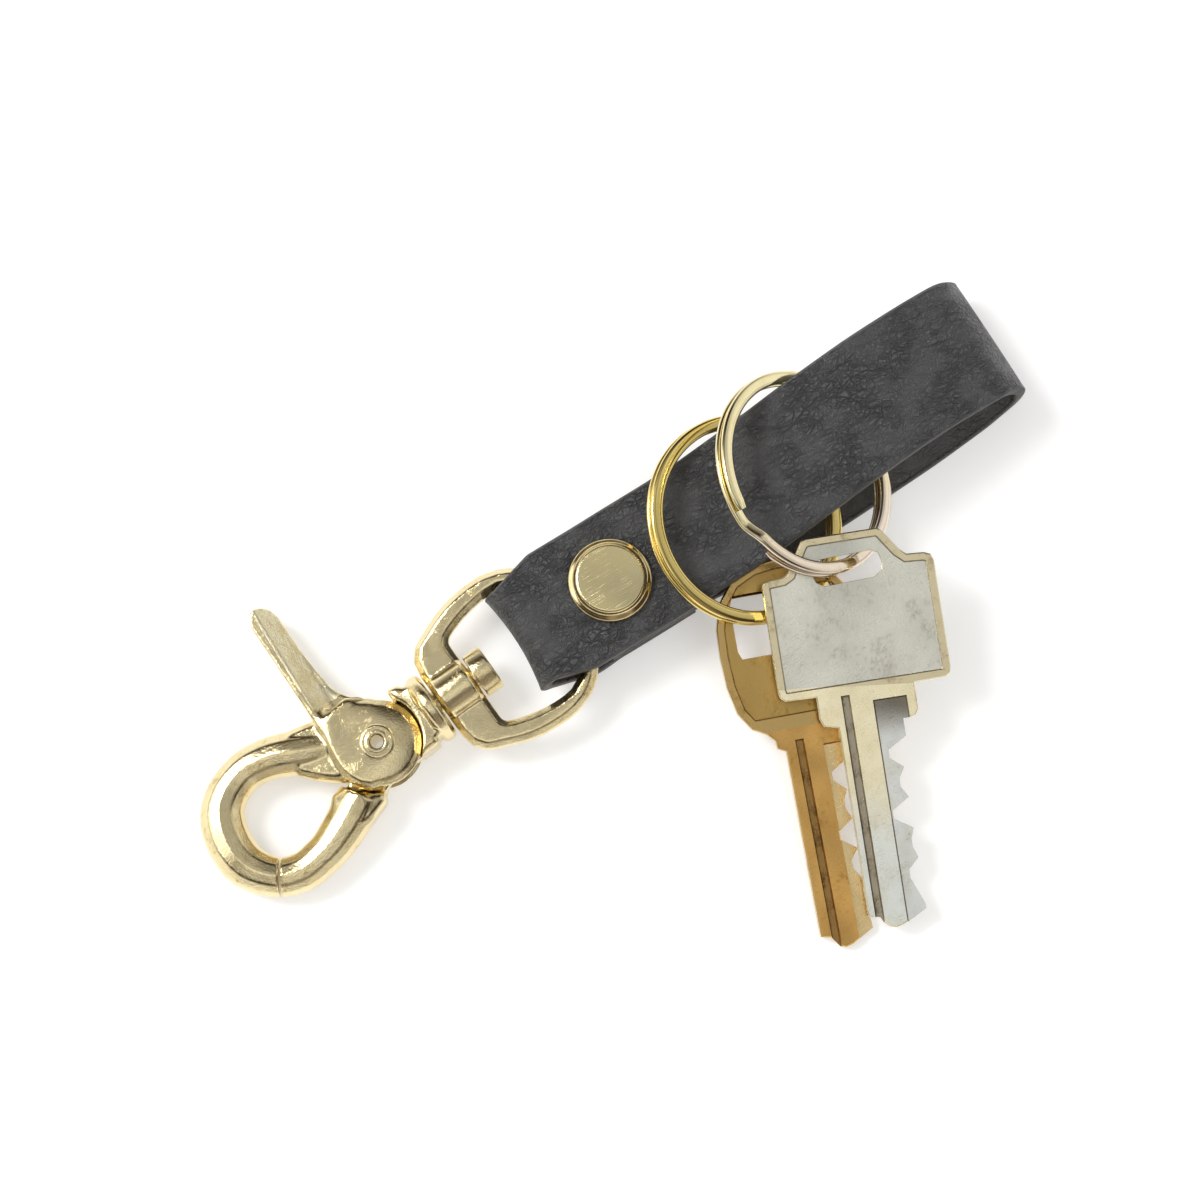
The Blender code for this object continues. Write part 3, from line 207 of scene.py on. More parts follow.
def makeLeatherGroup():
    # folds that cross at a slant with a net of fine creases, gathered in patches over a fine pebble; it also
    # gives the mask for a painted highlight on the pebble's high spots
    c = creaseSizes
    tree = newTree("leatherGrain")
    start, end = addSockets(
        tree, (("Vector", "NodeSocketVector", None), ("Wrinkle Scale", "NodeSocketFloat", 230.0),
               ("Cover", "NodeSocketFloat", 0.9)),
        (("Height", "NodeSocketFloat"), ("Crease", "NodeSocketFloat"), ("Cloud", "NodeSocketFloat"),
         ("Painted Shine", "NodeSocketFloat")))
    vector = start.outputs["Vector"]
    total = None
    wrinkle = start.outputs["Wrinkle Scale"]
    for turn, stretch, size, width, weight in c["folds"]:
        folds = addNode(tree, "ShaderNodeTexNoise", Detail=3.0, Roughness=0.5, Distortion=0.2,
                        Vector=stretchedPlace(tree, vector, turn, stretch),
                        Scale=mathNode(tree, "MULTIPLY", wrinkle, size))
        ridge = mathNode(tree, "ABSOLUTE", mathNode(tree, "SUBTRACT", folds.outputs["Fac"], 0.5))
        fold = mathNode(tree, "MULTIPLY", rampNode(tree, ridge, 0.0, width, 1.0, 0.0), weight)
        total = fold if total is None else mathNode(tree, "MAXIMUM", total, fold)
    # the net of fine creases between the folds
    bend = addNode(tree, "ShaderNodeTexNoise", Detail=2.0, Vector=vector,
                   Scale=mathNode(tree, "MULTIPLY", wrinkle, c["bendSize"]))
    bent = addNode(tree, "ShaderNodeVectorMath", operation="MULTIPLY_ADD")
    tree.links.new(bend.outputs["Color"], bent.inputs[0])
    bent.inputs[1].default_value = (c["bend"], c["bend"], 0)
    tree.links.new(vector, bent.inputs[2])
    for turn, stretch, size, width, weight in c["net"]:
        net = addNode(tree, "ShaderNodeTexVoronoi", feature="DISTANCE_TO_EDGE",
                      Vector=stretchedPlace(tree, bent.outputs[0], turn, stretch),
                      Scale=mathNode(tree, "MULTIPLY", wrinkle, size))
        line = rampNode(tree, net.outputs["Distance"], 0.0, width, 1.0, 0.0)
        total = mathNode(tree, "MAXIMUM", total, mathNode(tree, "MULTIPLY", line, weight))
    pebble = addNode(tree, "ShaderNodeTexNoise", Detail=4.0, Roughness=0.7, Vector=vector,
                     Scale=mathNode(tree, "MULTIPLY", wrinkle, c["pebbleSize"]))
    patches = addNode(tree, "ShaderNodeTexNoise", Scale=c["patchScale"], Detail=3.0, Vector=vector)
    where = rampNode(tree, patches.outputs["Fac"], 0.38, 0.62, 0.3, 1.0)
    shown = mathNode(tree, "MULTIPLY", mathNode(tree, "MULTIPLY", total, where), start.outputs["Cover"])
    height = mathNode(tree, "MULTIPLY", pebble.outputs["Fac"], c["pebbleLift"])
    height = mathNode(tree, "SUBTRACT", height, mathNode(tree, "MULTIPLY", shown, c["creaseDrop"]))
    height = mathNode(tree, "MULTIPLY_ADD", patches.outputs["Fac"], c["patchLift"], height)
    tree.links.new(height, end.inputs["Height"])
    tree.links.new(shown, end.inputs["Crease"])
    # painted highlight mask: the pebble's high spots inside the patches, away from the creases
    paintedShine = mathNode(tree, "MULTIPLY", rampNode(tree, pebble.outputs["Fac"], 0.54, 0.68), where)
    tree.links.new(mathNode(tree, "SUBTRACT", paintedShine, shown, clamp=True), end.inputs["Painted Shine"])
    tree.links.new(patches.outputs["Fac"], end.inputs["Cloud"])
    return tree


groups = {
    "speckle": makeSpeckleGroup(), "scratch": makeScratchGroup(), "leather": makeLeatherGroup(),
}
print("shared effects built")


def useGroup(tree, name, **values):
    node = tree.nodes.new("ShaderNodeGroup")
    node.node_tree = groups[name]
    for key, value in values.items():
        node.inputs[key.replace("_", " ")].default_value = value
    return node


def newMaterial(name):
    material = bpy.data.materials.new(name)
    material.use_nodes = True
    materials[name] = material
    return material.node_tree, material.node_tree.nodes["Principled BSDF"]


# what most finishes share
metalBase = {
    "speckleScale": 1900.0, "cover": 0.3, "scratchScale": 500.0,
    "scratches": 0.3, "grain": 0.3, "bump": 0.00001}
metalFinishes = {
    "goldCasting": {
        "colour": (0.84, 0.72, 0.44), "dull": (0.62, 0.49, 0.27), "rough": 0.13, "dullRough": 0.34,
        "cover": 0.42, "scratchScale": 260.0, "grain": 0.8, "bump": 0.00002, "wave": 0.00025,
        "waveScale": 190.0},
    "goldBrushed": {
        "colour": (0.95, 0.87, 0.62), "dull": (0.86, 0.77, 0.5), "rough": 0.34, "dullRough": 0.46,
        "cover": 0.6, "scratchScale": 420.0, "scratches": 1.0, "grain": 1.0, "bump": 0.00004},
    "goldCap": {
        "colour": (0.85, 0.74, 0.43), "dull": (0.7, 0.58, 0.29), "rough": 0.17, "dullRough": 0.34,
        "speckleScale": 1100.0, "scratchScale": 420.0, "scratches": 1.0, "grain": 0.2,
        "bump": 0.000014},
    "goldCapRim": {
        "colour": (0.82, 0.68, 0.38), "dull": (0.62, 0.48, 0.22), "rough": 0.09, "dullRough": 0.25,
        "speckleScale": 1300.0, "scratchScale": 420.0},
    "yellowRing": {
        "colour": (0.9, 0.72, 0.27), "dull": (0.7, 0.5, 0.14), "rough": 0.08, "dullRough": 0.22,
        "scratchScale": 900.0, "bump": 0.000006},
    "paleRing": {
        "colour": (0.8, 0.7, 0.6), "dull": (0.62, 0.5, 0.42), "rough": 0.08, "dullRough": 0.24,
        "cover": 0.35, "scratchScale": 900.0, "bump": 0.000006,
        "fade": ("height", (0.008, 0.017), (0.87, 0.78, 0.49))},
    "paleKeyFace": {
        "colour": (0.74, 0.735, 0.65), "dull": (0.63, 0.62, 0.54), "rough": 0.26, "dullRough": 0.42,
        "speckleScale": 1500.0, "cover": 0.5, "scratchScale": 300.0, "scratches": 0.7, "grain": 0.5,
        "bump": 0.00002, "wave": 0.0022, "waveScale": 50.0, "cloud": 0.2},
    "paleKeyBlade": {
        "colour": (0.95, 0.87, 0.62), "dull": (0.82, 0.75, 0.55), "rough": 0.22, "dullRough": 0.36,
        "cover": 0.35, "scratches": 0.8, "grain": 0.4, "bump": 0.000015, "wave": 0.0005,
        "waveScale": 110.0, "fade": ("length", (0.034, 0.05), (0.8, 0.83, 0.8))},
    # painted shadow: the ledge is dark where it starts below the blade's step, and turns silver further
    # along
    "paleKeyLedgeWithPaintedShadow": {
        "colour": (0.22, 0.2, 0.17), "dull": (0.16, 0.14, 0.12), "rough": 0.2, "dullRough": 0.36,
        "cover": 0.35, "scratches": 0.8, "grain": 0.4, "bump": 0.000015, "wave": 0.0004,
        "waveScale": 160.0, "fade": ("length", (0.026, 0.032), (0.74, 0.76, 0.74))},
    # darker groove floors; the same finish lies on the low walls as a painted shade line
    "paleKeyGrooveAndShadeLine": {
        "colour": (0.44, 0.39, 0.3), "dull": (0.28, 0.25, 0.19), "rough": 0.3, "dullRough": 0.45,
        "speckleScale": 2400.0, "cover": 0.55, "scratchScale": 700.0, "scratches": 0.5,
        "grain": 0.8, "bump": 0.00003},
    "paleKeyRim": {
        "colour": (0.7, 0.62, 0.42), "dull": (0.48, 0.42, 0.29), "rough": 0.18, "dullRough": 0.36,
        "speckleScale": 1500.0, "cover": 0.5, "scratchScale": 600.0, "scratches": 0.4},
    "darkKeyFace": {
        "colour": (0.58, 0.39, 0.13), "dull": (0.47, 0.31, 0.105), "rough": 0.28, "dullRough": 0.45,
        "speckleScale": 1300.0, "cover": 0.5, "scratchScale": 300.0, "scratches": 0.6, "grain": 0.5,
        "bump": 0.00002, "wave": 0.0005, "waveScale": 80.0},
    "darkKeyBlade": {
        "colour": (0.74, 0.44, 0.14), "dull": (0.52, 0.3, 0.095), "rough": 0.24, "dullRough": 0.4,
        "speckleScale": 1600.0, "cover": 0.45, "scratches": 0.8, "grain": 0.4, "bump": 0.000015,
        "wave": 0.0012, "waveScale": 90.0},
    "darkKeyLedge": {
        "colour": (0.88, 0.68, 0.36), "dull": (0.72, 0.52, 0.25), "rough": 0.22, "dullRough": 0.4,
        "speckleScale": 1600.0, "cover": 0.45, "scratches": 0.8, "grain": 0.4, "bump": 0.000015,
        "wave": 0.0006, "waveScale": 130.0},
    # darker groove floors; the same finish lies on the low walls as a painted shade line
    "darkKeyGrooveAndShadeLine": {
        "colour": (0.4, 0.24, 0.085), "dull": (0.22, 0.13, 0.05), "rough": 0.3, "dullRough": 0.5,
        "speckleScale": 2400.0, "cover": 0.55, "scratchScale": 700.0, "scratches": 0.5,
        "grain": 0.8, "bump": 0.00003},
    "darkKeyRim": {
        "colour": (0.66, 0.46, 0.18), "dull": (0.44, 0.29, 0.11), "rough": 0.2, "dullRough": 0.38,
        "speckleScale": 1300.0, "cover": 0.45, "scratchScale": 600.0, "scratches": 0.4},
    "springSteel": {
        "colour": (0.55, 0.55, 0.54), "dull": (0.38, 0.34, 0.3), "rough": 0.3, "dullRough": 0.5,
        "speckleScale": 2500.0, "cover": 0.4, "scratchScale": 900.0},
}


def makeMetal(name):
    look = {**metalBase, **metalFinishes[name]}
    tree, shader = newMaterial(name)
    place = tree.nodes.new("ShaderNodeTexCoord")
    speckle = useGroup(tree, "speckle", Scale=look["speckleScale"], Cover=look["cover"])
    scratch = useGroup(tree, "scratch", Scale=look["scratchScale"], Cover=look["scratches"])
    tree.links.new(place.outputs["Object"], speckle.inputs["Vector"])
    tree.links.new(place.outputs["Object"], scratch.inputs["Vector"])
    base = look["colour"]
    if "fade" in look:
        # the plating's tone drifts along the piece; on the pale key's ledge the drift is a painted shadow,
        # dark where the ledge starts below the blade's step
        source, run, tone = look["fade"]
        parts = tree.nodes.new("ShaderNodeSeparateXYZ")
        if source == "length":
            tree.links.new(tree.nodes.new("ShaderNodeUVMap").outputs["UV"], parts.inputs[0])
        else:
            tree.links.new(place.outputs["Object"], parts.inputs[0])
        drift = rampNode(tree, parts.outputs["X" if source == "length" else "Y"], *run)
        base = mixColour(tree, drift, base, tone)
    worn = mixColour(tree, speckle.outputs["Mask"], base, look["dull"])
    cloud = rampNode(tree, speckle.outputs["Cloud"], 0.35, 0.65)
    share = mathNode(tree, "MULTIPLY", cloud, look.get("cloud", 0.6))
    tree.links.new(mixColour(tree, share, worn, (1.0, 0.96, 0.86), "MULTIPLY"), shader.inputs["Base Color"])
    shader.inputs["Metallic"].default_value = 1.0
    rough = mathNode(tree, "MULTIPLY_ADD", speckle.outputs["Mask"], look["dullRough"] - look["rough"],
                     look["rough"])
    rough = mathNode(tree, "MULTIPLY_ADD", scratch.outputs["Mask"], 0.12, rough)
    rough = mathNode(tree, "MULTIPLY_ADD", cloud, 0.06, rough)
    tree.links.new(rough, shader.inputs["Roughness"])
    height = mathNode(tree, "ADD", speckle.outputs["Mask"], mathNode(
        tree, "MULTIPLY", scratch.outputs["Mask"], 0.35))
    height = mathNode(tree, "MULTIPLY_ADD", speckle.outputs["Grain"], 2.4 * look["grain"], height)
    if "wave" in look:
        # pressed sheet is never quite flat
        wave = addNode(tree, "ShaderNodeTexNoise", Scale=look["waveScale"], Detail=1.0,
                       Vector=place.outputs["Object"])
        height = mathNode(tree, "MULTIPLY_ADD", wave.outputs["Fac"], look["wave"] / look["bump"], height)
    bump = addNode(tree, "ShaderNodeBump", invert=True, Strength=0.8, Distance=look["bump"], Height=height)
    tree.links.new(bump.outputs[0], shader.inputs["Normal"])


leatherLook = {
    "strapLeather": {
        "colour": (0.062, 0.063, 0.066), "worn": (0.070, 0.071, 0.074), "rough": 0.30, "cover": 0.9},
    # the inner face's lighter colour is painted fill light, standing in for light bounced into the shaded
    # inside of the loop
    "strapInsidePaintedFill": {
        "colour": (0.115, 0.113, 0.112), "worn": (0.130, 0.128, 0.126), "rough": 0.48, "cover": 0.5},
    "strapCutEdge": {
        "colour": (0.055, 0.052, 0.049), "worn": (0.075, 0.071, 0.067), "rough": 0.46, "cover": 0.3},
}
leatherDepths = {
    # painted shade colour for the leather's creases, and its share
    "paintedCreaseShade": (0.018, 0.018, 0.019), "paintedCreaseShadeShare": 0.65,
    # painted highlight colour for the leather's ridges, and its share
    "paintedShine": (0.125, 0.126, 0.130), "paintedShineShare": 0.7, "cloudShare": 0.3, "bump": 0.0008,
}


def makeLeather(name):
    look = leatherLook[name]
    tree, shader = newMaterial(name)
    onEdge = name == "strapCutEdge"
    place = tree.nodes.new("ShaderNodeTexCoord" if onEdge else "ShaderNodeUVMap")
    grain = useGroup(tree, "leather", Cover=look["cover"])
    tree.links.new(place.outputs["Object" if onEdge else "UV"], grain.inputs["Vector"])
    cloud = rampNode(tree, grain.outputs["Cloud"], 0.35, 0.7)
    worn = mathNode(tree, "MULTIPLY", cloud, leatherDepths["cloudShare"])
    colour = mixColour(tree, worn, look["colour"], look["worn"])
    # painted shade: the creases are made darker in the colour
    paintedCreaseShade = mathNode(tree, "MULTIPLY", grain.outputs["Crease"], leatherDepths["paintedCreaseShadeShare"])
    colour = mixColour(tree, paintedCreaseShade, colour, leatherDepths["paintedCreaseShade"])
    # painted highlight: the ridges are made lighter in the colour
    paintedShine = mathNode(tree, "MULTIPLY", grain.outputs["Painted Shine"], leatherDepths["paintedShineShare"])
    colour = mixColour(tree, paintedShine, colour, leatherDepths["paintedShine"])
    tree.links.new(colour, shader.inputs["Base Color"])
    rough = mathNode(tree, "MULTIPLY_ADD", cloud, 0.1, look["rough"])
    rough = mathNode(tree, "MULTIPLY_ADD", grain.outputs["Crease"], 0.2, rough)
    tree.links.new(rough, shader.inputs["Roughness"])
    bump = addNode(tree, "ShaderNodeBump", Strength=0.9, Distance=leatherDepths["bump"],
                   Height=grain.outputs["Height"])
    tree.links.new(bump.outputs[0], shader.inputs["Normal"])


for finish in metalFinishes:
    makeMetal(finish)
for finish in leatherLook:
    makeLeather(finish)
print("materials built")


def newPiece(name, mesh):
    piece = bpy.data.objects.new(name, mesh)
    bpy.context.scene.collection.objects.link(piece)
    return piece


def pieceFrom(name, mesh):
    # the bmesh becomes a piece of the scene and is freed
    data = bpy.data.meshes.new(name)
    mesh.to_mesh(data)
    mesh.free()
    return newPiece(name, data)


def bakeModifiers(piece):
    # the modifiers' result becomes the piece's own mesh
    bpy.context.view_layer.update()
    graph = bpy.context.evaluated_depsgraph_get()
    mesh = bpy.data.meshes.new_from_object(piece.evaluated_get(graph))
    old = piece.data
    piece.modifiers.clear()
    piece.data = mesh
    bpy.data.meshes.remove(old)


def smoothShade(piece, angle=None):
    piece.data.shade_smooth()
    if angle is not None:
        piece.data.set_sharp_from_angle(angle=math.radians(angle))


def dress(piece, names):
    piece.data.materials.clear()
    for name in names:
        piece.data.materials.append(materials[name])


def clamped(value):
    return min(max(value, 0), 1)


def smoothPath(points, step):
    # a smooth curve through the points, sampled about every step
    vectors = [Vector(p) for p in points]
    last = len(vectors) - 1
    samples = []
    for i in range(last):
        a, b, c, d = (vectors[min(max(i + k, 0), last)] for k in (-1, 0, 1, 2))
        pieces = max(1, round((c - b).length / step))
        for j in range(pieces):
            t = j / pieces
            samples.append(0.5 * (2 * b + (c - a) * t + (2 * a - 5 * b + 4 * c - d) * t ** 2
                                  + (3 * b - a - 3 * c + d) * t ** 3))
    samples.append(vectors[-1])
    return samples


# the places of the moving pieces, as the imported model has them
joints = {joint["name"]: joint for joint in frame["joints"]}


def jointPlace(name):
    return Vector(joints[name]["pos_m"]), Vector(joints[name]["axis"]).normalized()


def clampPlace():
    # the binder post's axis, at the height of the strap's underside on the floor
    low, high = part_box("binder_post")
    return Vector(((low.x + high.x) / 2, (low.y + high.y) / 2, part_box("strap")[0].z))


strapSizes = {
    "width": 0.02, "thickness": 0.002, "layerGap": 0.00015, "step": 0.0006,
    "barFromRivet": 0.0082, "barRadius": 0.0014, "barClearance": 0.0005, "reach": 0.07,
    "height": 0.0165, "drift": 0.0024,
    "flapEnd": 0.009, "tuckEnd": 0.0055, "foldReach": 0.0173, "headEdge": 0.0042,
    "narrowing": 0.0036, "narrowRun": 0.0065, "narrowStart": 0.0085,
    "pull": 0.0011, "pullFrom": 0.0105, "edgeRound": 0.00055, "crown": 0.00007,
    "waver": 0.00012, "waverRun": 90, "hole": 0.0027, "punch": 0.04,
}


def strapRoute():
    s = strapSizes
    half = s["thickness"] / 2
    pitch = s["thickness"] + s["layerGap"]
    radius = s["barRadius"] + s["barClearance"] + half
    bar = jointPlace("eye_swing")[0].z - clampPlace().z
    top = bar + radius
    tuck = top - pitch
    flap = tuck - pitch
    barX = -s["barFromRivet"]
    foldX = radius + half - s["foldReach"]
    points = [(s["flapEnd"], 0, flap), (s["flapEnd"] / 2, 0, flap), (0, 0, flap)]
    points += [(-s["headEdge"] / 2, 0, flap), (-s["headEdge"], 0, flap)]
    points += [(0.85 * barX, 0, bar - radius), (barX, 0, bar - radius)]
    for i in range(7):
        turn = math.radians(-90 - 30 * i)
        points.append((foldX + radius * math.cos(turn), 0, bar + radius * math.sin(turn)))
    points += [(barX, 0, top), (barX / 2, 0, top), (0, 0, top)]
    rise = s["height"] - half - top
    topLine = ((0.10, 0.0, 0.0), (0.18, 0.0, 0.09), (0.27, 0.02, 0.27), (0.36, 0.10, 0.52),
               (0.45, 0.25, 0.78), (0.535, 0.42, 0.95), (0.62, 0.60, 1.0), (0.71, 0.78, 0.95),
               (0.80, 0.91, 0.80), (0.875, 0.98, 0.60))
    farFold = ((0.935, 1.0, 0.74), (0.972, 0.98, 0.52), (0.985, 0.92, 0.34), (0.972, 0.84, 0.19),
               (0.935, 0.72, 0.105))
    floorLine = ((0.87, 0.52), (0.70, 0.22), (0.52, 0.04), (0.38, 0.0))
    points += [(x * s["reach"], y * s["drift"], top + z * rise) for x, y, z in topLine]
    points += [(x * s["reach"], y * s["drift"], z * s["height"]) for x, y, z in farFold]
    points += [(x * s["reach"], y * s["drift"], half) for x, y in floorLine]
    ramp = floorLine[-1][0] * s["reach"] - s["flapEnd"]
    points += [(s["flapEnd"] + x * ramp, 0, half + z * (tuck - half))
               for x, z in ((0.70, 0.12), (0.42, 0.50), (0.16, 0.93))]
    points += [(s["flapEnd"], 0, tuck), (s["flapEnd"] / 2, 0, tuck), (0, 0, tuck), (-s["tuckEnd"], 0, tuck)]
    return smoothPath(points, s["step"])


def strapSection(halfWidth):
    # across and up: rounded corners and slightly crowned faces
    s = strapSizes
    half = s["thickness"] / 2
    corner = s["edgeRound"]
    across = 14
    section = []
    for side in (1, -1):
        flat = halfWidth - corner
        for i in range(across + 1):
            share = 1 - 2 * i / across
            up = half + s["crown"] * (1 - share ** 2) - s["crown"]
            section.append((side * flat * share, side * up))
        for i in range(1, 5):
            turn = math.pi / 2 + i * math.pi / 10
            section.append((-side * (flat - corner * math.cos(turn)),
                            side * (half - corner + corner * math.sin(turn))))
        for i in range(4, 0, -1):
            turn = math.pi / 2 + i * math.pi / 10
            section.append((-side * (flat - corner * math.cos(turn)),
                            -side * (half - corner + corner * math.sin(turn))))
    return section


def makeStrap():
    s = strapSizes
    route = strapRoute()
    rivet = clampPlace()
    mesh = bmesh.new()
    uv = mesh.loops.layers.uv.new("UVMap")
    rings = []
    run = 0.0
    runs = []
    for i, place in enumerate(route):
        before = route[max(i - 1, 0)]
        after = route[min(i + 1, len(route) - 1)]
        along = after - before
        normal = Vector((-along.z, 0, along.x)).normalized()
        reach = (-place.x - s["narrowStart"]) / s["narrowRun"]
        halfWidth = (s["width"] - s["narrowing"] * clamped(reach)) / 2
        run += (place - route[i - 1]).length if i else 0
        runs.append(run)
        # the edges waver a little, as hand-cut leather does
        waver = s["waver"] * noise.noise(Vector((run * s["waverRun"], 3.1, 0)))
        ring = []
        # the fold is pulled in at the middle of its width
        pulled = (s["pullFrom"] + place.x) / (s["pullFrom"] - s["foldReach"])
        pull = s["pull"] * clamped(pulled)
        for across, up in strapSection(halfWidth + waver):
            bow = pull * (1 - (across / halfWidth) ** 2)
            ring.append(mesh.verts.new(rivet + place + Vector((bow, across, 0)) + normal * up))
        rings.append(ring)
    count = len(rings[0])
    inner = count // 2
    for i in range(len(rings) - 1):
        for j in range(count):
            k = (j + 1) % count
            face = mesh.faces.new((rings[i][j], rings[i][k], rings[i + 1][k], rings[i + 1][j]))
            # the inner face takes the lighter leather that carries painted fill light
            face.material_index = 2 if inner <= j < count - 1 and inner <= k < count else 0
            for loop in face.loops:
                station = i if loop.vert in (rings[i][j], rings[i][k]) else i + 1
                loop[uv].uv = (runs[station], loop.vert.co.y)
    for ring, turned in ((rings[0], False), (rings[-1], True)):
        cap = mesh.faces.new(ring if turned else list(reversed(ring)))
        for loop in cap.loops:
            loop[uv].uv = (loop.vert.co.z, loop.vert.co.y)
    bmesh.ops.recalc_face_normals(mesh, faces=mesh.faces)
    strap = pieceFrom("leather_strap", mesh)
    sides = [face.material_index for face in strap.data.polygons]
    dress(strap, ("strapLeather", "strapCutEdge", "strapInsidePaintedFill"))
    for face, side in zip(strap.data.polygons, sides):
        face.material_index = side
    # punched hole for the binder post
    punch = bmesh.new()
    bmesh.ops.create_cone(punch, cap_ends=True, segments=48, radius1=s["hole"], radius2=s["hole"],
                          depth=s["punch"])
    punchPiece = pieceFrom("punch", punch)
    punchPiece.location = rivet
    cut = strap.modifiers.new("punch", "BOOLEAN")
    cut.object = punchPiece
    cut.solver = "EXACT"
    bakeModifiers(strap)
    bpy.data.objects.remove(punchPiece, do_unlink=True)
    for face in strap.data.polygons:
        face.material_index = 1 if abs(face.normal.y) > 0.6 else face.material_index
    smoothShade(strap, 50)
    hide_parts("strap")
    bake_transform(strap)
    print("strap made")


castSizes = {
    # places along and across the snap where a casting is rounder still, each with its reach
    "soft": {
        "snap_body": ((-0.0097, -0.0035, 0.003), (-0.0042, -0.0075, 0.003), (0.0075, 0.0035, 0.0035)),
        "jaw_lever": ((-0.0030, 0.0090, 0.0045), (-0.0095, -0.002, 0.003)), "swivel_eye": ()},
    "softPasses": 60,
    "voxel": 0.00019, "passes": 7, "strength": 0.55,
}


cheekSizes = {
    "flatRadius": 0.0016, "rimRadius": 0.0068, "farRadius": 0.0088,
    "drop": 0.0014, "from": 0.0014, "full": 0.0035, "lowSide": (0.95, -0.30), "facing": (0.55, 0.6),
    "padStart": 0.0095, "padLeft": -0.0042, "padUp": 0.3, "lean": 0.0558, "leverReach": 0.0274,
}


def domeCheeks(piece):
    # the cheeks fall away from the rivet to their free rims, and run on level into the lever
    c = cheekSizes
    place, axis = jointPlace("jaw_open")
    snapAxis = jointPlace("swivel_spin")[1]
    lowSide = snapAxis * c["lowSide"][0] + snapAxis.cross(axis) * c["lowSide"][1]
    for vertex in piece.data.vertices:
        offset = vertex.co - place
        height = offset.dot(axis)
        outward = offset - axis * height
        radius = outward.length
        rise = clamped((radius - c["flatRadius"]) / (c["rimRadius"] - c["flatRadius"]))
        fade = clamped((c["farRadius"] - radius) / (c["farRadius"] - c["rimRadius"]))
        lift = clamped((abs(height) - c["from"]) / (c["full"] - c["from"]))
        middle, swing = c["facing"]
        facing = clamped(middle + swing * outward.dot(lowSide) / max(radius, 0.0001))
        drop = c["drop"] * rise * rise * fade * fade * (3 - 2 * fade) * lift
        drop *= facing * facing * (3 - 2 * facing)
        vertex.co -= axis * math.copysign(drop, height)


def brushPad(piece):
    # the thumb pad is finely brushed, beside a bright strip along the lever's other edge
    c = cheekSizes
    place, axis = jointPlace("jaw_open")
    snapAxis = jointPlace("swivel_spin")[1]
    sideAxis = snapAxis.cross(axis)
    piece.data.materials.append(materials["goldBrushed"])
    for face in piece.data.polygons:
        offset = face.center - place
        side = offset.dot(sideAxis)
        edge = c["padLeft"] - c["lean"] * (c["leverReach"] - side)
        level = abs(face.normal.dot(axis)) > c["padUp"]
        if level and side > c["padStart"] and offset.dot(snapAxis) > edge:
            face.material_index = 1


def softenSpots(piece, spots):
    # rounds the casting off further near each spot
    if not spots:
        return
    place, axis = jointPlace("jaw_open")
    snapAxis = jointPlace("swivel_spin")[1]
    group = piece.vertex_groups.new(name="soft")
    centres = [(place + snapAxis * u + snapAxis.cross(axis) * v, reach) for u, v, reach in spots]
    for vertex in piece.data.vertices:
        near = 0
        for centre, reach in centres:
            offset = vertex.co - centre
            near = max(near, 1 - (offset - axis * offset.dot(axis)).length / reach)
        if near > 0:
            group.add([vertex.index], min(1, 2 * near), "REPLACE")
    relax = piece.modifiers.new("soften", "SMOOTH")
    relax.vertex_group = "soft"
    relax.factor = castSizes["strength"]
    relax.iterations = castSizes["softPasses"]
    bakeModifiers(piece)


def castPiece(name, node, body, finish):
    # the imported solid's shape with a casting's soft fillets
    mesh = frame["nodes"][node].data.copy()
    mesh.name = name
    piece = newPiece(name, mesh)
    remesh = piece.modifiers.new("voxels", "REMESH")
    remesh.mode = "VOXEL"
    remesh.voxel_size = castSizes["voxel"]
    relax = piece.modifiers.new("relax", "SMOOTH")
    relax.factor = castSizes["strength"]
    relax.iterations = castSizes["passes"]
    bakeModifiers(piece)
    softenSpots(piece, castSizes["soft"][node])
    dress(piece, (finish,))
    if node == "jaw_lever":
        domeCheeks(piece)
        brushPad(piece)
    smoothShade(piece)
    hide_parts(node)
    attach(piece, body)
    print(name, "made,", len(piece.data.polygons), "faces")


def turnedPiece(name, profile, place, axis, finish, steps=120):
    # a closed shell: radius and height points spun round the axis
    mesh = bmesh.new()
    side = axis.orthogonal().normalized()
    other = axis.cross(side)
    rows = []
    for radius, height in profile:
        if radius < 1e-7:
            rows.append([mesh.verts.new(place + axis * height)])
            continue
        rows.append([mesh.verts.new(place + axis * height + radius * (
            math.cos(2 * math.pi * i / steps) * side + math.sin(2 * math.pi * i / steps) * other))
            for i in range(steps)])
    closed = len(rows[0]) > 1
    pairs = list(zip(rows, rows[1:])) + ([(rows[-1], rows[0])] if closed else [])
    for upper, lower in pairs:
        for i in range(steps):
            k = (i + 1) % steps
            if len(upper) == 1:
                mesh.faces.new((upper[0], lower[i], lower[k]))
            elif len(lower) == 1:
                mesh.faces.new((upper[i], upper[k], lower[0]))
            else:
                mesh.faces.new((upper[i], lower[i], lower[k], upper[k]))
    bmesh.ops.recalc_face_normals(mesh, faces=mesh.faces)
    piece = pieceFrom(name, mesh)
    dress(piece, (finish,))
    smoothShade(piece, 40)
    return piece


def roundedCorner(corner, start, end, radius, count=5):
    # points on a fillet at a profile corner between two neighbours
    corner, start, end = Vector(corner), Vector(start), Vector(end)
    a = corner + (start - corner).normalized() * radius
    b = corner + (end - corner).normalized() * radius
    return [tuple((1 - t) ** 2 * a + 2 * t * (1 - t) * corner + t * t * b)
            for t in (i / count for i in range(count + 1))]


def roundedProfile(points, radii):
    profile = []
    for i, (point, radius) in enumerate(zip(points, radii)):
        if radius:
            profile += roundedCorner(point, points[i - 1], points[(i + 1) % len(points)], radius)
        else:
            profile.append(tuple(point))
    return profile


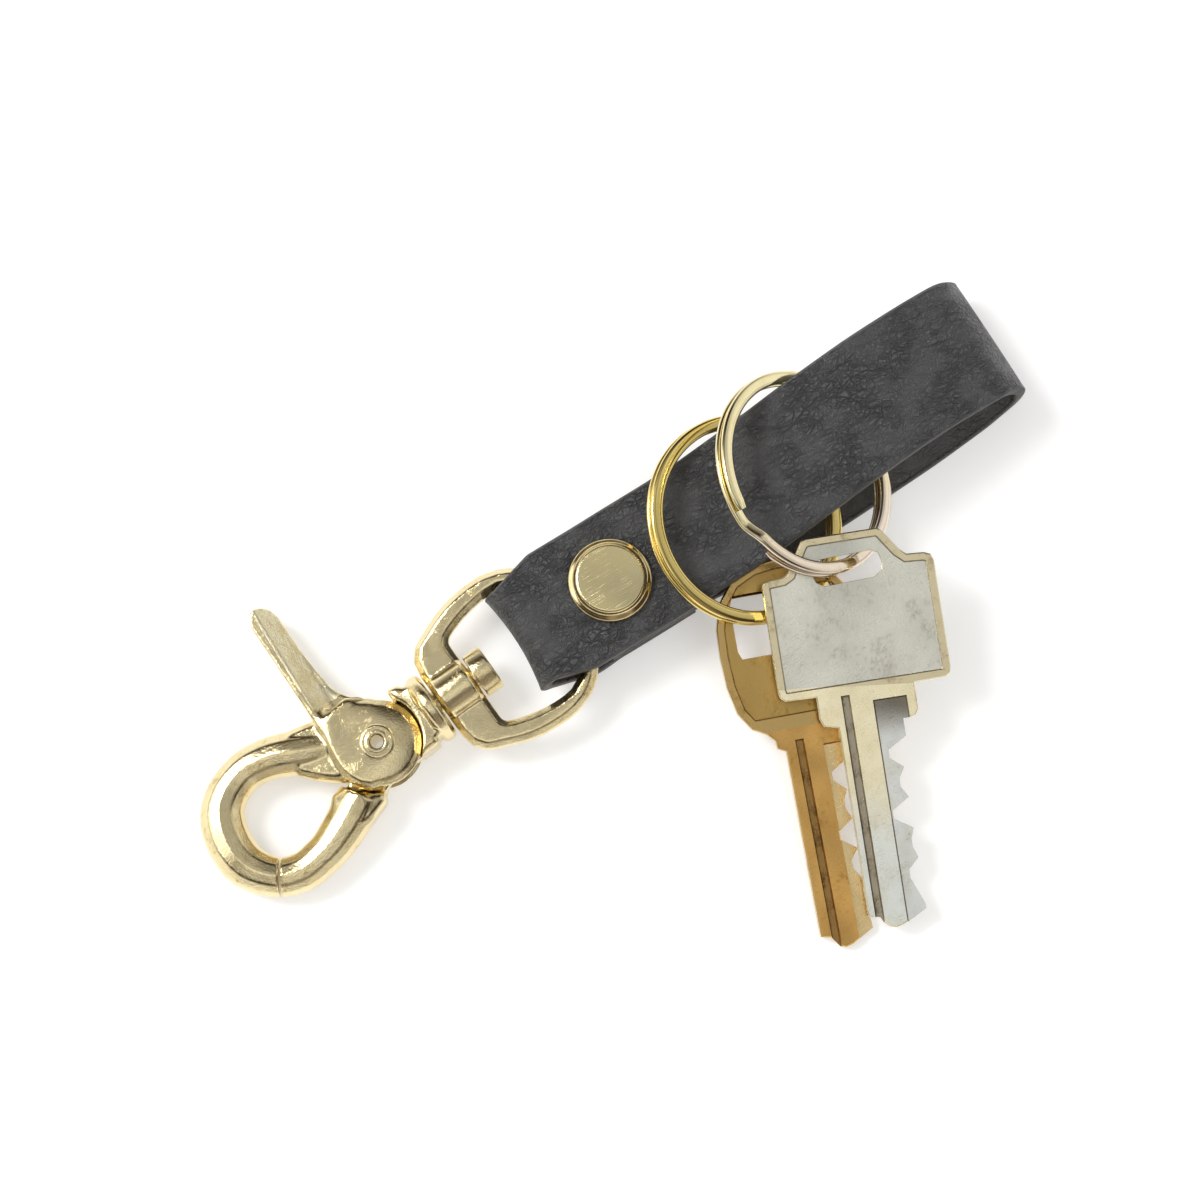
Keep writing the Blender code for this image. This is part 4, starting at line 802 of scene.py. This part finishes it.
capSizes = {
    "outer": 0.00635, "inner": 0.0051, "height": 0.002, "step": 0.0009, "lean": 0.0004,
    "barrel": 0.0025, "bore": 0.0019, "barrelLength": 0.0065, "boreTop": 0.00025,
    "rolls": (0, 0.00035, 0.0003, 0.0004, 0.0002, 0, 0, 0, 0, 0), "faceDepth": 0.00006,
}


def makeBinderPost():
    c = capSizes
    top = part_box("binder_post")[1].z
    base = top - c["height"]
    end = base - c["barrelLength"]
    rim = top - c["step"]
    points = ((0, top), (c["inner"], top), (c["inner"] + c["lean"], rim), (c["outer"], rim - c["lean"]),
              (c["outer"], base), (c["barrel"], base), (c["barrel"], end),
              (c["bore"], end), (c["bore"], base - c["boreTop"]), (0, base - c["boreTop"]))
    profile = roundedProfile(points, c["rolls"])
    place = clampPlace()
    place.z = 0
    post = turnedPiece("binder_cap", profile, place, Vector((0, 0, 1)), "goldCapRim")
    post.data.materials.append(materials["goldCap"])
    for face in post.data.polygons:
        if face.center.z > top - c["faceDepth"]:
            face.material_index = 1
    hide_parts("binder_post")
    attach(post, "belt")
    print("binder post made")


rivetSizes = {
    "head": 0.0027, "shank": 0.0016, "bore": 0.001, "under": 0.0038, "proud": 0.0004,
    "lip": 0.00062, "bevel": 0.0003, "lipBevel": 0.00022, "groove": 0.00016, "rise": 0.00012, "back": 0.0002,
    "rolls": (0.0001, 0.00012, 0.00012, 0.0001, 0.00025, 0, 0, 0, 0, 0.0001, 0.0001, 0),
}


def makePivotRivet():
    r = rivetSizes
    place, axis = jointPlace("jaw_open")
    top = r["under"] + r["proud"]
    points = ((r["bore"], top - r["bevel"]), (r["bore"] + r["lipBevel"], top), (r["bore"] + r["lip"], top),
              (r["bore"] + r["lip"] + r["groove"], top - r["groove"]),
              (r["head"] - r["bevel"], top - r["rise"]), (r["head"], r["under"]), (r["shank"], r["under"]),
              (r["shank"], -r["under"]), (r["head"], -r["under"]), (r["head"] - r["back"], -top),
              (r["bore"] + r["back"], -top), (r["bore"], r["back"] - top))
    profile = roundedProfile(points, r["rolls"])
    rivet = turnedPiece("jaw_rivet", profile, place, -axis, "goldCasting")
    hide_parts("pivot_rivet")
    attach(rivet, "snap")
    print("pivot rivet made")


pinSizes = {
    "head": 0.0036, "headLength": 0.003, "shank": 0.002, "eyeBase": 0.0063, "gap": 0.0003,
    "toEyeBase": 0.0109, "tail": 0.0072, "rolls": (0, 0.0005, 0.0003, 0, 0.0002, 0),
    "dimple": ((0.0008, 0.0001), (0.0012, 0)),
}


def makeSwivelPin():
    p = pinSizes
    place, axis = jointPlace("swivel_spin")
    headStart = p["toEyeBase"] + p["eyeBase"] + p["gap"]
    end = headStart + p["headLength"]
    points = ((0, end), (p["head"], end), (p["head"], headStart), (p["shank"], headStart),
              (p["shank"], p["tail"]), (0, p["tail"]))
    profile = roundedProfile(points, p["rolls"])
    profile[1:1] = [(radius, end - depth) for radius, depth in p["dimple"]]
    pin = turnedPiece("pin", profile, place, axis, "goldCasting")
    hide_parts("swivel_pin")
    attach(pin, "snap")
    print("swivel pin made")


# jog and ends are in degrees
ringSizes = {
    "mean": 0.015, "radial": 0.002, "wire": 0.00095, "gap": 0.00045, "jog": 16, "ends": 6,
    "perTurn": 150, "round": 0.72, "points": 28, "endShrink": (0.72, 0.9, 1.0),
}
ringPlaces = {
    "yellow_split_ring": {
        "node": "brass_ring", "joint": "yellow_ring_turn", "body": "yellow_ring", "slot": "yellow_brass",
        "finish": "yellowRing", "slopes": (-0.391, 0.24), "jogAt": 20},
    "pale_split_ring": {
        "node": "nickel_ring", "joint": "pale_ring_turn", "body": "pale_ring", "slot": "pale_nickel_gold",
        "finish": "paleRing", "slopes": (-0.696, 0.235), "jogAt": 198},
}


def makeSplitRing(name):
    r, at = ringSizes, ringPlaces[name]
    centre = jointPlace(at["joint"])[0]
    slopeX, slopeY = at["slopes"]
    normal = Vector((-slopeX, -slopeY, 1)).normalized()
    across = Vector((1, 0, slopeX)).normalized()
    along = normal.cross(across)
    first = r["jog"] / 2 + r["ends"]
    last = 720 - first
    count = 2 * r["perTurn"]
    pitch = r["wire"] + r["gap"]
    halfRadial, halfWire = r["radial"] / 2, r["wire"] / 2
    section = []
    for i in range(r["points"]):
        out = math.cos(2 * math.pi * i / r["points"])
        up = math.sin(2 * math.pi * i / r["points"])
        section.append((halfRadial * math.copysign(abs(out) ** r["round"], out),
                        halfWire * math.copysign(abs(up) ** r["round"], up)))
    mesh = bmesh.new()
    rows = []
    for i in range(count + 1):
        degrees = first + (last - first) * i / count
        share = clamped((degrees - 360) / r["jog"] + 0.5)
        height = pitch * (share * share * (3 - 2 * share) - 0.5)
        turn = math.radians(degrees + at["jogAt"])
        out = math.cos(turn) * across + math.sin(turn) * along
        ends = min(i, count - i)
        shrink = r["endShrink"][min(ends, 2)]
        rows.append([mesh.verts.new(centre + out * (r["mean"] + shrink * x) + normal * (height + shrink * y))
                     for x, y in section])
    size = len(section)
    for a, b in zip(rows, rows[1:]):
        for j in range(size):
            k = (j + 1) % size
            mesh.faces.new((a[j], a[k], b[k], b[j]))
    mesh.faces.new(list(reversed(rows[0])))
    mesh.faces.new(rows[-1])
    bmesh.ops.recalc_face_normals(mesh, faces=mesh.faces)
    ring = pieceFrom(name, mesh)
    dress(ring, (at["finish"],))
    smoothShade(ring, 45)
    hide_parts(at["node"])
    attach(ring, at["body"])
    print(name, "made")


# how far below the key's outer face each kind of face may lie, and how far a low wall's foot stands out
keyDepths = {"wall": 0.0004, "rim": 0.00007, "field": 0.0003, "ledge": 0.00055, "foot": 0.0002}
# places of a key's finishes, and the mark that its low walls carry until it is dressed
keyFaces = {"field": 0, "rim": 1, "blade": 2, "ledge": 3, "groove": 4, "wall": 5}

keyLooks = {
    "pale_key": {
        "node": "silver_key", "body": "upper_key", "slot": "nickel_silver", "neck": 0.393,
        "bevel": 0.0002,
        "finishes": ("paleKeyFace", "paleKeyRim", "paleKeyBlade", "paleKeyLedgeWithPaintedShadow", "paleKeyGrooveAndShadeLine")},
    "dark_key": {
        "node": "brass_key", "body": "under_key", "slot": "worn_brass", "neck": 0.43,
        "bevel": 0.0002,
        "finishes": ("darkKeyFace", "darkKeyRim", "darkKeyBlade", "darkKeyLedge", "darkKeyGrooveAndShadeLine")},
}


def keyAxes(mesh):
    # the key's flat normal, and its length from the head towards the tip
    areas = {}
    for face in mesh.polygons:
        heading = tuple(round(c, 2) for c in face.normal)
        areas[heading] = areas.get(heading, 0) + face.area
    main = max(areas, key=areas.get)
    flat = sum((face.normal * face.area for face in mesh.polygons
                if tuple(round(c, 2) for c in face.normal) == main), Vector()).normalized()
    if flat.z < 0:
        flat.negate()
    side = flat.orthogonal().normalized()
    other = flat.cross(side)
    spots = [vertex.co for vertex in mesh.vertices]
    longest = (0, side)
    for i in range(180):
        turn = math.radians(i)
        along = side * math.cos(turn) + other * math.sin(turn)
        reach = [spot.dot(along) for spot in spots]
        longest = max(longest, (max(reach) - min(reach), along), key=lambda pair: pair[0])
    length, along = longest
    if along.y > 0:
        along = -along
    return flat, along, min(spot.dot(along) for spot in spots), length


def makeKey(name):
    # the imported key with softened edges, where the plating is rubbed through to the brass
    look = keyLooks[name]
    mesh = bmesh.new()
    mesh.from_mesh(frame["nodes"][look["node"]].data)
    bmesh.ops.remove_doubles(mesh, verts=mesh.verts, dist=0.000001)
    bmesh.ops.dissolve_limit(mesh, angle_limit=math.radians(1.5), verts=mesh.verts, edges=mesh.edges)
    data = bpy.data.meshes.new(name)
    mesh.to_mesh(data)
    flat, along, headEnd, length = keyAxes(data)
    across = flat.cross(along)
    # the blade's faces end at the neck
    bmesh.ops.bisect_plane(mesh, geom=mesh.verts[:] + mesh.edges[:] + mesh.faces[:],
                           plane_co=along * (headEnd + look["neck"] * length), plane_no=along)
    # the low walls beside the field, the groove and the ledge carry a painted shade line
    tops = [vertex.co.dot(flat) for vertex in data.vertices]
    feet = {}
    for face in mesh.faces:
        middle = (max(tops) + min(tops)) / 2
        level = abs(face.calc_center_median().dot(flat) - middle)
        wall = abs(face.normal.dot(flat)) < 0.5 and (max(tops) - middle) - level < keyDepths["wall"]
        face.material_index = keyFaces["wall"] if wall else keyFaces["field"]
        for vertex in face.verts if wall else ():
            if abs(vertex.co.dot(flat) - middle) < level:
                feet.setdefault(vertex, []).append(face.normal.copy())
    for vertex, normals in feet.items():
        # each wall's foot stands out a little, so that the wall slopes
        total = sum(normals, Vector()) / len(normals)
        vertex.co += total * keyDepths["foot"] / max(total.length_squared, 0.3)
    bmesh.ops.remove_doubles(mesh, verts=list(feet), dist=0.00006)
    mesh.to_mesh(data)
    mesh.free()
    key = newPiece(name, data)
    rounding = key.modifiers.new("rounding", "BEVEL")
    rounding.width = look["bevel"]
    rounding.segments = 2
    rounding.limit_method = "ANGLE"
    rounding.angle_limit = math.radians(25)
    rounding.use_clamp_overlap = True
    smoothShade(key)
    weighted = key.modifiers.new("weighted", "WEIGHTED_NORMAL")
    weighted.weight = 100
    bakeModifiers(key)
    walls = [face.material_index == keyFaces["wall"] for face in key.data.polygons]
    dress(key, look["finishes"])
    heights = [vertex.co.dot(flat) for vertex in key.data.vertices]
    top, bottom = max(heights), min(heights)
    uv = key.data.uv_layers.new(name="UVMap")
    for face, wall in zip(key.data.polygons, walls):
        level = face.center.dot(flat)
        place = (face.center.dot(along) - headEnd) / length
        depth = min(top - level, level - bottom)
        if wall or abs(face.normal.dot(flat)) < 0.93:
            # low walls take the groove's darker finish, a painted shade line
            kind = "groove" if wall else "rim"
        elif depth > keyDepths["ledge"]:
            kind = "groove"
        elif depth > keyDepths["field"]:
            kind = "ledge"
        elif place > look["neck"]:
            kind = "blade"
        else:
            kind = "rim" if depth < keyDepths["rim"] else "field"
        face.material_index = keyFaces[kind]
        for loop in face.loop_indices:
            spot = key.data.vertices[key.data.loops[loop].vertex_index].co
            uv.data[loop].uv = (spot.dot(along) - headEnd, spot.dot(across))
    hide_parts(look["node"])
    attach(key, look["body"])
    print(name, "made,", len(key.data.polygons), "faces")


makeStrap()
makeBinderPost()
makePivotRivet()
makeSwivelPin()
castPiece("bow_eye", "swivel_eye", "eye", "goldCasting")
castPiece("snap_casting", "snap_body", "snap", "goldCasting")
castPiece("jaw_casting", "jaw_lever", "jaw", "goldCasting")
for ringName in ringPlaces:
    makeSplitRing(ringName)
for keyName in keyLooks:
    makeKey(keyName)

for node, finish in (("binder_screw", "goldCap"), ("jaw_spring", "springSteel")):
    frame["nodes"][node].material_slots[0].material = materials[finish]
print("pieces made")


floorLook = {
    "colour": (0.72, 0.72, 0.72), "rough": 0.7, "sheen": 0.1, "glow": 0.36, "size": 1.6, "below": 0.00005}


def makeFloor():
    mesh = bmesh.new()
    bmesh.ops.create_grid(mesh, x_segments=1, y_segments=1, size=floorLook["size"])
    floor = pieceFrom("floor", mesh)
    floor.location = (0, 0, cadBox[0][2] - floorLook["below"])
    tree, shader = newMaterial("paleFloor")
    shader.inputs["Base Color"].default_value = (*floorLook["colour"], 1)
    shader.inputs["Roughness"].default_value = floorLook["rough"]
    shader.inputs["Specular IOR Level"].default_value = floorLook["sheen"]
    path = tree.nodes.new("ShaderNodeLightPath")
    seen = mathNode(tree, "MAXIMUM", path.outputs["Is Camera Ray"], path.outputs["Is Glossy Ray"])
    shader.inputs["Emission Color"].default_value = (1, 1, 1, 1)
    tree.links.new(mathNode(tree, "MULTIPLY", seen, floorLook["glow"]), shader.inputs["Emission Strength"])
    floor.data.materials.append(materials["paleFloor"])


# What the metal mirrors: a pale ceiling, darker walls, and soft patches of window and wall light.
# Each patch: direction, cosine where it starts, cosine where it is full, colour.
roomLook = {
    "elevations": (
        (0.0, (0.78, 0.77, 0.75)), (0.22, (0.66, 0.65, 0.62)), (0.38, (0.20, 0.17, 0.14)),
        (0.52, (0.045, 0.032, 0.022)), (0.68, (0.07, 0.05, 0.038)), (0.82, (0.34, 0.33, 0.31)),
        (0.93, (0.60, 0.60, 0.59)), (1.0, (0.50, 0.50, 0.49))),
    "patches": (
        ((-0.55, 0.45, 0.62), 0.87, 0.93, (1.9, 1.88, 1.83)),
        ((0.80, -0.10, 0.42), 0.90, 0.95, (0.90, 0.89, 0.86)),
        ((-0.15, -0.75, 0.55), 0.92, 0.97, (0.42, 0.37, 0.33)),
        ((-0.16, -0.20, 0.966), 0.95, 0.985, (1.02, 1.01, 0.98)),
    ),
    "clutter": 3.2, "clutterLow": 0.55, "clutterHigh": 1.15,
}


def makeWorld():
    world = bpy.data.worlds.new("paleRoom")
    bpy.context.scene.world = world
    world.use_nodes = True
    tree = world.node_tree
    tree.nodes.clear()
    output = tree.nodes.new("ShaderNodeOutputWorld")
    room = tree.nodes.new("ShaderNodeBackground")
    place = tree.nodes.new("ShaderNodeTexCoord")
    parts = tree.nodes.new("ShaderNodeSeparateXYZ")
    tree.links.new(place.outputs["Generated"], parts.inputs[0])
    bands = tree.nodes.new("ShaderNodeValToRGB")
    bands.color_ramp.interpolation = "EASE"
    while len(bands.color_ramp.elements) < len(roomLook["elevations"]):
        bands.color_ramp.elements.new(0.5)
    for element, (height, colour) in zip(bands.color_ramp.elements, roomLook["elevations"]):
        element.position = height
        element.color = (*colour, 1)
    tree.links.new(parts.outputs["Z"], bands.inputs[0])
    total = bands.outputs[0]
    for direction, start, full, colour in roomLook["patches"]:
        facing = addNode(tree, "ShaderNodeVectorMath", operation="DOT_PRODUCT")
        facing.inputs[1].default_value = Vector(direction).normalized()
        tree.links.new(place.outputs["Generated"], facing.inputs[0])
        patch = rampNode(tree, facing.outputs["Value"], start, full)
        total = mixColour(tree, patch, total, colour)
    # things in the room break the bands up
    clutter = addNode(tree, "ShaderNodeTexNoise", Scale=roomLook["clutter"], Detail=3.0, Roughness=0.6,
                      Vector=place.outputs["Generated"])
    level = rampNode(tree, clutter.outputs["Fac"], 0.38, 0.62, roomLook["clutterLow"],
                     roomLook["clutterHigh"])
    scale = addNode(tree, "ShaderNodeVectorMath", operation="SCALE")
    tree.links.new(total, scale.inputs[0])
    tree.links.new(level, scale.inputs["Scale"])
    tree.links.new(scale.outputs[0], room.inputs["Color"])
    tree.links.new(room.outputs[0], output.inputs["Surface"])


lamps = {
    "windowLamp": {
        "at": (-0.35, 0.45, 0.75), "size": 0.34, "power": 4.0, "colour": (1.0, 0.995, 0.985),
        "mirrored": True},
    "sideLamp": {
        "at": (0.15, -0.8, 0.6), "size": 0.7, "power": 3.4, "colour": (1.0, 1.0, 1.0), "mirrored": False},
    "overheadLamp": {
        "at": (0.05, 0.05, 0.95), "size": 1.5, "power": 2.4, "colour": (1.0, 1.0, 1.0), "mirrored": False},
}


def makeLamps():
    target = Vector((0, 0.005, 0.005))
    for name, lamp in lamps.items():
        data = bpy.data.lights.new(name, "AREA")
        data.shape = "DISK"
        data.size = lamp["size"]
        data.energy = lamp["power"]
        data.color = lamp["colour"]
        light = bpy.data.objects.new(name, data)
        bpy.context.scene.collection.objects.link(light)
        place = Vector(lamp["at"])
        light.location = place
        light.rotation_euler = (target - place).to_track_quat("-Z", "Y").to_euler()
        light.visible_glossy = lamp["mirrored"]


def makeCamera():
    v = photoView
    level = math.cos(v["height"])
    back = Vector((math.sin(v["turn"]) * level, -math.cos(v["turn"]) * level, math.sin(v["height"])))
    right = Vector((math.cos(v["turn"]), math.sin(v["turn"]), 0))
    up = back.cross(right)
    data = bpy.data.cameras.new("photoCamera")
    camera = bpy.data.objects.new("photoCamera", data)
    bpy.context.scene.collection.objects.link(camera)
    place = Vector(v["look"]) + back * v["distance"]
    camera.matrix_world = Matrix.Translation(place) @ Matrix((right, up, back)).transposed().to_4x4()
    data.sensor_width = v["film"]
    data.lens = v["film"] * v["distance"] / v["metresWide"]
    data.clip_start = 0.01
    bpy.context.scene.camera = camera


makeFloor()
makeWorld()
makeLamps()
makeCamera()
bpy.context.scene.view_settings.view_transform = "Standard"
print("stage, lamps and camera set")
